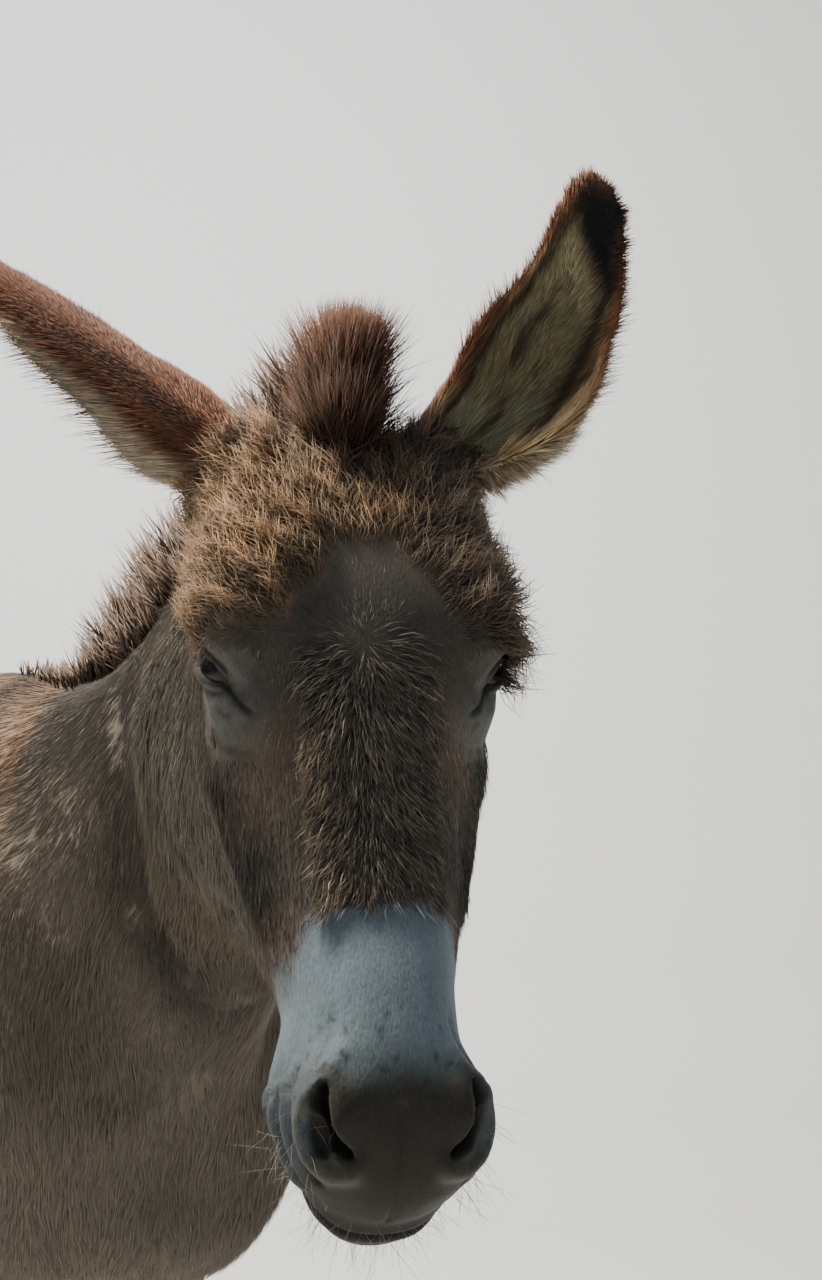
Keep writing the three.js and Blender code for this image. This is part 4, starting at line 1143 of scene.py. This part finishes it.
# ---- Face hair -------------------------------------------------------------------------------
# Short flat hair all over the face, thinning out to down on the muzzle and shortest round the eyes.
# It leaves a whorl between the eyes.
FACE_TUFTS = 67000
eye_gap = np.min([np.linalg.norm(face_place - lids[3], axis=1) for lids in EYE_FRAMES.values()], 0)
lid = step_up(eye_gap, 17, 25)
cover = is_head * (1 - 0.86 * muzzle_white(face_middle)) * (0.4 + 0.6 * lid) * (1 - 0.5 * brow)
spot, out, uv, lie, tone, tip, dice = coat_places(FACE_TUFTS, cover, 21)
place = head_place(spot) * 1000
x, y, z = np.abs(place[:, 0]), place[:, 1], place[:, 2]
white = muzzle_white(spot)
eye = step_up(np.linalg.norm(np.stack([x - 92, y + 184, z + 32], 1), axis=1), 20, 55)
length = (0.0105 + 0.005 * step_up(-z, 60, 150)) * (1 - 0.62 * white) * (0.25 + 0.75 * eye)
length *= 0.75 + 0.5 * dice.random(len(spot))
streak = np.exp(0.55 * dice.normal(size=len(spot)) * (1 - 0.7 * white))[:, None]
grow("face_coat", spot, out, lie, uv, tone * streak ** 0.5, np.clip(tip * streak, 0, BRIGHTEST), length,
     0.00098 * (1 - 0.3 * white),
     (13 + 14 * dice.random(len(spot))) * (1 - 0.65 * brow_shade(x, y, z)), 0.5, 1, dice)

# ---- Cheek hair ------------------------------------------------------------------------------
# Longer hair that hangs over the cheeks and the edge of the jaw. It lies flat near the face and
# stands off further back.
CHEEK_TUFTS = 8500
cheek = step_up(-fz, 52, 74) * (1 - step_up(-fy, 300, 345)) * step_up(-fy, 60, 110) * is_head
spot, out, uv, lie, tone, tip, dice = coat_places(CHEEK_TUFTS, cheek, 27)
length = 0.026 * (0.75 + 0.5 * dice.random(len(spot))) * (0.75 + 0.5 * cloud(spot, 0.03, 8))
hang = step_up(-head_place(spot)[:, 2], 0.085, 0.130)
grow("cheek_coat", spot, out, lie, uv, tone, tip, length * (0.7 + 0.3 * hang), 0.0012,
     (16 + 16 * dice.random(len(spot))) * (0.4 + 0.6 * hang), 0.7, 2, dice, curl=0.06)

# ---- Hair along the nose bone ----------------------------------------------------------------
# A long strip of longer, rougher hair runs down the nose bone and parts to both sides of it. Along
# the animal's right edge its tips are longer and more lifted, and are painted pale as a highlight.
BRIDGE_TUFTS = 8800
cover = is_head * (1 - step_up(fx, 34, 42)) * step_up(-fy, 150, 205) * (1 - step_up(-fy, 326, 338))
spot, out, uv, lie, tone, tip, dice = coat_places(BRIDGE_TUFTS, cover, 20)
aside = head_place(spot)[:, 0]
parted = np.clip(aside * 1000 / 22, -1, 1)
lie = project(lie + 0.55 * parted[:, None] * LEFT, out)
streak = np.exp(0.6 * dice.normal(size=len(spot)))[:, None]
parting = hump(aside + 0.033, 0.012)
length = (0.018 + 0.004 * parting) * (0.7 + 0.6 * dice.random(len(spot)))
length *= 0.75 + 0.5 * cloud(spot, 0.014, 3)
grow("bridge_coat", spot, out, lie, uv, tone, np.clip(tip * streak * 1.1, 0, BRIGHTEST), length, 0.0011,
     24 + 10 * parting + 18 * dice.random(len(spot)), 0.9, 2, dice, curl=0.14, turns=0.6)

# ---- Brow curls ------------------------------------------------------------------------------
# Curly hair over the brow, its tan tips partly bleached and partly painted highlight, a ragged edge of
# it down both sides of the nose bone, and longer locks that droop over the left eye and gather at the
# forelock's foot.
BROW_TUFTS = 15000
ridge = hump(fx - 32, 10) * step_up(-fy, 190, 225) * (1 - step_up(-fy, 318, 336))
ridge *= step_up(fz, -40, -24)
cover = np.maximum(brow * step_up(-fx, -125, -100), 0.45 * ridge * is_head)
spot, out, uv, lie, tone, tip, dice = coat_places(BROW_TUFTS, cover, 22)
over = brow_cover(spot)
foot = middle_of("forelock") * [1, 1, 0] + [0, 0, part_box("forelock")[0].z + 0.012]
swept = hump(np.linalg.norm(spot - foot, axis=1), 0.046, 4)
x, y, z = head_place(spot).T * 1000
droop = step_up(x, 74, 92) * step_up(-y, 112, 140)
lie = mix(lie, project(np.tile(HEAD_AXES @ [0.85, -0.35, -0.2], (len(spot), 1)), out), droop)
lie = mix(lie, project(foot - spot + [0, 0, 0.10], out), swept)
lie = project(lie + 1.7 * drift(spot, 0.011, (2, 4, 9)) * over[:, None], out)
tone, tip = mix(tone, shade(52, 44, 37), 0.7 * swept), mix(tip, shade(104, 84, 66), 0.7 * swept)
length = (0.013 + 0.006 * over + 0.013 * swept + 0.007 * droop) * (0.6 + 0.8 * dice.random(len(spot)))
length *= 0.6 + 0.8 * cloud(spot, 0.012, 15)
grow("brow_coat", spot, out, lie, uv, tone, tip, length, 0.0010,
     (14 + 14 * over) + (28 + 14 * swept) * dice.random(len(spot)), 0.9, 2, dice, curl=0.34, turns=0.8)

# ---- Ear hair --------------------------------------------------------------------------------
# Short dense hair on the ears' backs, longer pale hair in the hollows, and a fringe on the lower rims
# that hangs from the left ear's lower corner.
EAR_TUFTS = 44000
spot, out, uv, lie, tone, tip, dice = coat_places(EAR_TUFTS, is_ear, 23)
streak = np.exp(0.45 * dice.normal(size=len(spot)))[:, None]
up, aside, inside = ear_place(head_place(spot) * 1000, out @ HEAD_AXES)[:3]
rim = step_up(np.abs(aside), 0.72, 0.96)
right_ear = head_place(spot)[:, 0] < 0
fringe = np.where(right_ear, step_up(aside, 0.7, 0.95) * (1 - step_up(up, 0.62, 0.85)),
                  step_up(aside, 0.55, 0.85) * (1 - step_up(up, 0.20, 0.40)))
length = 0.0075 + 0.001 * rim + 0.010 * inside * (1 - step_up(up, 0.45, 0.8))
length += np.where(right_ear, 0.011, 0.018) * fringe
length *= 0.7 + 0.6 * dice.random(len(spot))
grow("ear_coat", spot, out, lie, uv, tone * streak ** 0.5, np.clip(tip * streak, 0, BRIGHTEST), length,
     0.00095, 13 + 11 * rim + 15 * dice.random(len(spot)), 0.4, 1, dice)

# ---- Neck coat -------------------------------------------------------------------------------
# Rough coat in loose locks over the neck, the chest and the shoulders. It is made in two pieces,
# since there is so much of it.
NECK_TUFTS = 62000
cover = is_front * (1.0 - 0.6 * step_up(face_middle[:, 1], -0.34, -0.2))
spot, out, uv, lie, tone, tip, dice = coat_places(NECK_TUFTS, cover, 24)
length = 0.020 * (0.7 + 0.6 * dice.random(len(spot))) * (0.75 + 0.5 * cloud(spot, 0.04, 8))
grow("neck_coat", spot, out, lie, uv, tone, tip, length, 0.0017, 11 + 11 * dice.random(len(spot)),
     0.5, 1, dice)

# ---- Body coat -------------------------------------------------------------------------------
# Longer flat coat over the back, the sides, the belly, the rump and the upper legs, in wide locks
# that lie close to the skin.
BODY_TUFTS = 46000
spot, out, uv, lie, tone, tip, dice = coat_places(BODY_TUFTS, is_rest & (face_middle[:, 2] > 0.50), 25)
length = 0.027 * (0.75 + 0.5 * dice.random(len(spot)))
grow("body_coat", spot, out, lie, uv, tone, tip, length, 0.0023, 4 + 6 * dice.random(len(spot)),
     0.5, 1, dice)

# ---- Leg coat --------------------------------------------------------------------------------
# Short coat down the lower legs, densest and longest round the coronets, where it hangs over the
# upper edge of the hooves.
LEG_TUFTS = 20000
cover = (is_rest & (face_middle[:, 2] <= 0.50)) * (1 + 3 * step_up(-face_middle[:, 2], -0.13, -0.09))
spot, out, uv, lie, tone, tip, dice = coat_places(LEG_TUFTS, cover, 26)
coronet = 1 - step_up(spot[:, 2], 0.080, 0.115)
length = (0.014 + 0.010 * coronet) * (0.75 + 0.5 * dice.random(len(spot)))
grow("leg_coat", spot, out, lie, uv, tone, tip, length, 0.0024,
     7 + 6 * dice.random(len(spot)) + 8 * coronet, 0.5, 1, dice)

# ---- Whiskers --------------------------------------------------------------------------------
# Stiff pale feelers on the lips, the chin and round the nostrils, each one tapered hair that stands
# well off the skin.
WHISKERS = 260
cover = step_up(-fy, 452, 480) * step_up(-fz, 40, 70) * is_head
cover += 0.10 * step_up(-fy, 440, 470) * is_head
spot, out, uv, part, dice = sow(WHISKERS, cover * ((fx > 36) | (fz < -84)), 28)
lie = np.tile(-HEAD_AXES[:, 1] * 0.6 - HEAD_AXES[:, 2] * 0.5, (len(spot), 1))
lie = project(lie + 0.5 * dice.normal(size=(len(spot), 3)), out)
length = 0.020 + 0.030 * dice.random(len(spot)) ** 2
grow("whiskers", spot, out, lie, uv, np.tile(shade(120, 114, 106), (len(spot), 1)),
     np.tile(shade(150, 142, 128), (len(spot), 1)), length, 0.00032,
     40 + 30 * dice.random(len(spot)), 0.4, 3, dice, curl=0.04)

# ---- Eyelashes -------------------------------------------------------------------------------
# A row of dark lashes along the edge of each upper lid. They point down and forwards, over the ball.
LASHES = 26
skin_tree = BVHTree.FromPolygons(skin_points.tolist(), skin_triangles.tolist())
spots, outs, downs = [], [], []
dice = np.random.default_rng(29)
for out, down, over, middle in EYE_FRAMES.values():
    for k in range(LASHES):
        a = -15 + 31 * (k + dice.random()) / LASHES
        length = LID_BACK if a < 0 else LID_FRONT
        b = LID_TOP * max(0.0, 1 - (a / length) ** 2) ** 0.7 + 1.2 + 1.2 * dice.random()
        c = math.sqrt((EYE_RADIUS + 1.6) ** 2 - a * a * 0.75 - b * b)
        spots.append(POLL + HEAD_AXES @ (middle + down * a + over * b + out * c) / 1000)
        outs.append(HEAD_AXES @ unit(out + over * 0.25))
        downs.append(HEAD_AXES @ unit(down * (0.5 + 0.02 * a) - over * 0.75 + out * 0.2))
spots, outs = np.array(spots), np.array(outs)
hits = [skin_tree.find_nearest(p)[2] for p in spots.tolist()]
grow("eyelashes", spots, outs, project(np.array(downs), outs), corner_uv[hits].mean(axis=1),
     np.tile(BLACKISH, (len(spots), 1)), np.tile(shade(70, 58, 48), (len(spots), 1)),
     0.007 + 0.004 * dice.random(len(spots)), 0.0004, 58 + 14 * dice.random(len(spots)), 0.9, 3, dice)

# ---- Mane ------------------------------------------------------------------------------------
# The mane stands up like a brush along the crest, and is shorter towards the withers. Its locks grow
# over a hidden core, which is the solid itself, shrunk and sunk into the neck.


def thatch(node, name, count, way, length, width, tones, shrink_by, seed, lift, rings, wild=1.0,
           sunk=lambda points: 0 * points, fringe=0.012):
    """Locks over a node's solid, drawn down onto the skin, and over the skin within fringe of it. way
    is the hair's direction, or gives it for each point, and wild says how untidy the hair is."""
    points, triangles, _ = shape_of([node])
    points, triangles = refine(points.astype(float), triangles.astype(np.int64),
                               lambda p: np.full(len(p), 0.008), 4)
    _, first, back = np.unique(np.round(points, 6), axis=0, return_index=True, return_inverse=True)
    points, triangles = points[first], back.reshape(-1)[triangles]
    edges = edges_of(triangles)
    points = spread(points, edges, 6)
    out = normals_of(points, triangles)
    points = points - out * shrink_by + sunk(points)
    for k, point in enumerate(points.tolist()):
        near, slope, _, gap = skin_tree.find_nearest(point)
        if gap < 0.045 and out[k] @ (np.array(near) - point) > 0.45 * gap:
            points[k] = np.array(near) - 0.007 * np.array(slope)
    points = spread(points, edges, 2, 0.4)
    out = normals_of(points, triangles)

    generator = np.random.default_rng(seed)
    a, b, c = (points[triangles[:, k]] for k in range(3))
    face, weight = scatter(count, np.linalg.norm(np.cross(b - a, c - a), axis=1), generator)
    spot = np.einsum("nk,nkj->nj", weight, points[triangles[face]])
    facing = np.einsum("nk,nkj->nj", weight, out[triangles[face]])
    low, high = spot.min(axis=0) - 0.03, spot.max(axis=0) + 0.03
    core_tree = BVHTree.FromPolygons(points.tolist(), triangles.tolist())
    close = np.all((face_middle > low) & (face_middle < high), axis=1) * (~is_ear * 1.0)
    for k in np.flatnonzero(close):
        close[k] = core_tree.find_nearest(face_middle[k].tolist())[3] < fringe
    if close.any():
        extra, extra_out = sow(int(count * 0.22), close, seed + 40)[:2]
        spot, facing = np.concatenate([spot, extra]), np.concatenate([facing, extra_out])
    count = len(spot)
    flow = way(spot) if callable(way) else np.tile(way, (count, 1))
    swirl = drift(spot, 0.02, (1, 2, 3))
    flow = flow + wild * (0.8 * swirl + 0.22 * generator.normal(size=(count, 3)))
    lie = flow / np.linalg.norm(flow, axis=1, keepdims=True)
    facing = project(facing + 0.2 * generator.normal(size=(count, 3)), lie)
    length = length(spot) if callable(length) else length
    hair_uv, core_uv = (corner_uv[[skin_tree.find_nearest(p)[2] for p in source.tolist()]].mean(axis=1)
                        for source in (spot, points))
    dark, light = tones(spot)
    # The hidden core is painted darker than the roots of the hair over it, as painted shade under the
    # locks.
    core_dark, _ = tones(points)
    fade = 0.65 + 0.7 * generator.random(count)
    grow(name, spot, facing, lie, hair_uv, dark * fade[:, None], light * fade[:, None],
         length * (0.7 + 0.6 * generator.random(count)), width,
         lift + 14 * wild * generator.random(count), 0.6, rings, generator, curl=0.06 * wild,
         turns=0.6, sink=0.002, stands_for=(node,),
         core=(points, triangles, core_dark * 0.7, core_uv))


def two_tones(points, size, dark, other_dark, light, other_light):
    """The root and tip tones of long hair, each drifting between two colours."""
    rise = cloud(points, size, 2)
    every = np.ones((len(points), 1))
    return mix(every * dark, other_dark, rise), mix(every * light, other_light, rise)


def mane_tones(points):
    """Dark grey-brown roots and paler tips."""
    return two_tones(points, 0.02, MANE_DARK, shade(80, 66, 56), shade(104, 84, 70), shade(128, 108, 92))


def into_crest(points):
    """How far the mane's core lies in the neck: deeper towards the withers."""
    deep = 0.004 + 0.034 * step_up(points[:, 1], -0.33, -0.20)
    return np.stack([0 * deep, 0.2 * deep, -deep], 1)


def mane_length(points):
    """The mane's length, shorter towards the withers."""
    return 0.042 - 0.028 * step_up(points[:, 1], -0.31, -0.20)


thatch("mane", "mane_hair", 4800, (0.0, 0.35, 1.0), mane_length, 0.0020, mane_tones, 0.009,
       seed=31, lift=16, rings=2, sunk=into_crest)

# ---- Forelock --------------------------------------------------------------------------------
# The last tuft of the mane, between the ears, made in the same way. It rises and fans out from its
# middle, and is dark at the foot and lighter rust-brown towards the top and the tips, partly bleached
# and partly painted light from above.


def forelock_tones(points):
    """Rust-brown that gets lighter upwards, partly as painted light on its top, with a dark middle."""
    low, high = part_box("forelock")
    # Lighter with height: partly the hair's own bleaching, partly painted light from above.
    rise = step_up(points[:, 2], low.z + 0.02, high.z)
    middle = hump((points - np.array((low + high) / 2)) @ LEFT, 0.016)
    dark = mix(np.tile(shade(58, 48, 40), (len(points), 1)), shade(104, 60, 34), rise)
    dark = mix(dark, EAR_DARK, 0.85 * middle * (1 - rise * 0.45))
    return dark, mix(dark * 1.4, shade(152, 92, 54), 0.18 + 0.30 * rise)


def rising(points):
    """The forelock's hair rises and fans out from its middle."""
    return (points - middle_of("forelock")) * [-2, -2, 0] + [0.0, -0.1, 1.0]


def to_the_top(points):
    """Each hair of the forelock ends near the same ragged height."""
    away = np.linalg.norm((points - middle_of("forelock"))[:, :2], axis=1)
    rise = np.clip(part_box("forelock")[1].z - 0.006 - points[:, 2], 0.016, 0.060)
    rise *= 0.8 + 0.3 * cloud(points, 0.006, 2)
    return np.minimum(rise, 0.060 - 0.045 * step_up(away, 0.030, 0.048))


def drawn_in(points):
    """The forelock's core is narrower than its solid, and lower."""
    return (middle_of("forelock") - points) * [0.25, 0.25, 0] - [0, 0, 0.008]


thatch("forelock", "forelock_hair", 8600, rising, to_the_top, 0.0011, forelock_tones, 0.014,
       seed=32, lift=12, rings=2, wild=1.1, sunk=drawn_in, fringe=0.006)

# ---- Tail tuft -------------------------------------------------------------------------------
# The long dark tuft at the tail's end, made in the same way. Its coarse hair hangs straight down and
# also covers the last stretch of the tail.


def tail_tones(points):
    """Dark brown, darkest in streaks."""
    return two_tones(points, 0.03, MANE_DARK, shade(40, 32, 28), shade(96, 74, 60), shade(60, 48, 40))


thatch("tail_tuft", "tail_hair", 3000, (0.0, 0.0, -1.0), 0.070, 0.0022, tail_tones, 0.012,
       seed=33, lift=1, rings=3, wild=0.30, fringe=0.06)

# ---- Eyes ------------------------------------------------------------------------------------
# Dark wet balls with a brown iris, a level oblong pupil and a clear bulge in front. They sit deep in
# the lids, and all of each ball is made in one piece.
wet_eye = bpy.data.materials.new("wet_eye")
wet_eye.use_nodes = True
nodes, links = wet_eye.node_tree.nodes, wet_eye.node_tree.links
shader = nodes["Principled BSDF"]
tone = nodes.new("ShaderNodeAttribute")
tone.attribute_name = "coat_tone"
links.new(tone.outputs["Color"], shader.inputs["Base Color"])
shader.inputs["Roughness"].default_value = 0.16
shader.inputs["IOR"].default_value = 1.38
shader.inputs["Specular IOR Level"].default_value = 0.25
shader.inputs["Coat Weight"].default_value = 0.2
shader.inputs["Coat Roughness"].default_value = 0.03
RINGS, SPOKES = 60, 84
for side in EYE_FRAMES:
    out, down, over, middle = EYE_FRAMES[side]
    points, triangles = [(0.0, 0.0, 1.0)], []
    for ring in range(1, RINGS):
        angle = math.pi * (ring / RINGS) ** 1.25
        for spoke in range(SPOKES):
            turn = 2 * math.pi * spoke / SPOKES
            points.append((math.sin(angle) * math.cos(turn), math.sin(angle) * math.sin(turn),
                           math.cos(angle)))
    points.append((0.0, 0.0, -1.0))
    last = len(points) - 1
    for spoke in range(SPOKES):
        after = (spoke + 1) % SPOKES
        triangles.append((0, 1 + spoke, 1 + after))
        for ring in range(RINGS - 2):
            a, b = 1 + ring * SPOKES + spoke, 1 + ring * SPOKES + after
            triangles += [(a, a + SPOKES, b), (b, a + SPOKES, b + SPOKES)]
        triangles.append((last, last - SPOKES + after, last - SPOKES + spoke))
    ball = np.array(points)
    flat = np.hypot(ball[:, 0], ball[:, 1])
    bulge = 1.0 + 0.055 * step_up(ball[:, 2], 0.72, 0.97)
    shape = ball * (EYE_RADIUS - 1.0) * bulge[:, None]
    level = np.array([0.0, 0.0, 1.0]) @ HEAD_AXES
    rise = ball[:, 0] * (down @ level) + ball[:, 1] * (over @ level)
    along = np.sqrt(np.maximum(flat ** 2 - rise ** 2, 0))
    iris = 1 - step_up(flat, 0.60, 0.66)
    fibres = cloud(np.stack([np.arctan2(ball[:, 1], ball[:, 0]) * 6, flat * 3, 0 * flat], 1), 0.35, 1)
    colour = np.tile(shade(24, 18, 15), (len(ball), 1))
    colour = mix(colour, shade(34, 23, 13), iris)
    colour = mix(colour, shade(66, 43, 21), iris * 0.6 * fibres * step_up(flat, 0.2, 0.5))
    colour = mix(colour, shade(24, 16, 12), hump(flat - 0.63, 0.05))
    pupil = 1 - step_up(np.hypot(along / 0.42, rise / 0.20), 0.88, 1.08)
    colour = mix(colour, shade(6, 6, 8), pupil * (ball[:, 2] > 0))
    local = middle + shape[:, :1] * down + shape[:, 1:2] * over + shape[:, 2:] * out
    faces = np.array(triangles)
    if np.cross(down, over) @ out < 0:
        faces = faces[:, ::-1]
    eyeball = new_mesh(f"eyeball_{side}", POLL + (local / 1000) @ HEAD_AXES.T, faces)
    paint(eyeball, colour)
    eyeball.data.materials.append(wet_eye)
    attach(eyeball, "root")
    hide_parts(f"eye_{side}")

# ---- Hooves ----------------------------------------------------------------------------------
# Small upright hooves of dark grey-brown horn, with growth rings, a rounded lower edge and a slightly
# raised band at the top.
HORN_VOXEL = 0.0030
RING_STEP = 0.0125
TAPER = 0.14
horn = bpy.data.materials.new("hoof_horn")
horn.use_nodes = True
nodes, links = horn.node_tree.nodes, horn.node_tree.links
shader = nodes["Principled BSDF"]
where = nodes.new("ShaderNodeTexCoord")
stretched = nodes.new("ShaderNodeMapping")
stretched.inputs["Scale"].default_value = (1.0, 1.0, 0.12)
grain = nodes.new("ShaderNodeTexNoise")
grain.inputs["Scale"].default_value = 260.0
grain.inputs["Detail"].default_value = 4.0
tint = nodes.new("ShaderNodeValToRGB")
tint.color_ramp.elements[0].position = 0.35
tint.color_ramp.elements[0].color = (0.026, 0.022, 0.019, 1)
tint.color_ramp.elements[1].position = 0.70
tint.color_ramp.elements[1].color = (0.058, 0.049, 0.040, 1)
raised = nodes.new("ShaderNodeBump")
raised.inputs["Strength"].default_value = 0.2
raised.inputs["Distance"].default_value = 0.0008
links.new(where.outputs["Object"], stretched.inputs["Vector"])
links.new(stretched.outputs["Vector"], grain.inputs["Vector"])
links.new(grain.outputs["Fac"], tint.inputs["Fac"])
links.new(tint.outputs["Color"], shader.inputs["Base Color"])
links.new(grain.outputs["Fac"], raised.inputs["Height"])
links.new(raised.outputs["Normal"], shader.inputs["Normal"])
shader.inputs["Roughness"].default_value = 0.42
for name in sorted(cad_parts):
    if not name.endswith("_hoof"):
        continue
    points, triangles, _ = shape_of([name])
    first = offset_surface(points.astype(np.float32), triangles.astype(np.int32), NO_QUADS,
                           HORN_VOXEL, -0.0050)
    points, corners_of, quads = offset_surface(*first, HORN_VOXEL, 0.0040)
    triangles = as_triangles(points, corners_of, quads)
    points = spread(points.astype(float), edges_of(triangles), 4)
    out = normals_of(points, triangles)
    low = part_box(name)[0].z
    rise = points[:, 2] - low
    wall = step_up(1 - np.abs(out[:, 2]), 0.2, 0.7)
    rings = np.sin(2 * math.pi * (rise / RING_STEP + 0.8 * cloud(points, 0.04, 3)))
    top = step_up(rise, 0.060, 0.068)
    points = points + out * (wall * (0.00045 * rings * (1 - top) + 0.0006 * top))[:, None]
    points[:, 2] = np.maximum(points[:, 2], low + 0.0002)
    axis = np.array([*points[rise > 0.058].mean(axis=0)[:2], 0])
    taper = 1 - TAPER * step_up(rise, 0.010, 0.074)
    points = axis + (points - axis) * np.stack([taper, taper, np.ones(len(rise))], 1)
    hoof = new_mesh(f"horn_{name}", points, triangles)
    hoof.data.materials.append(horn)
    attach(hoof, "root")
    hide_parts(name)
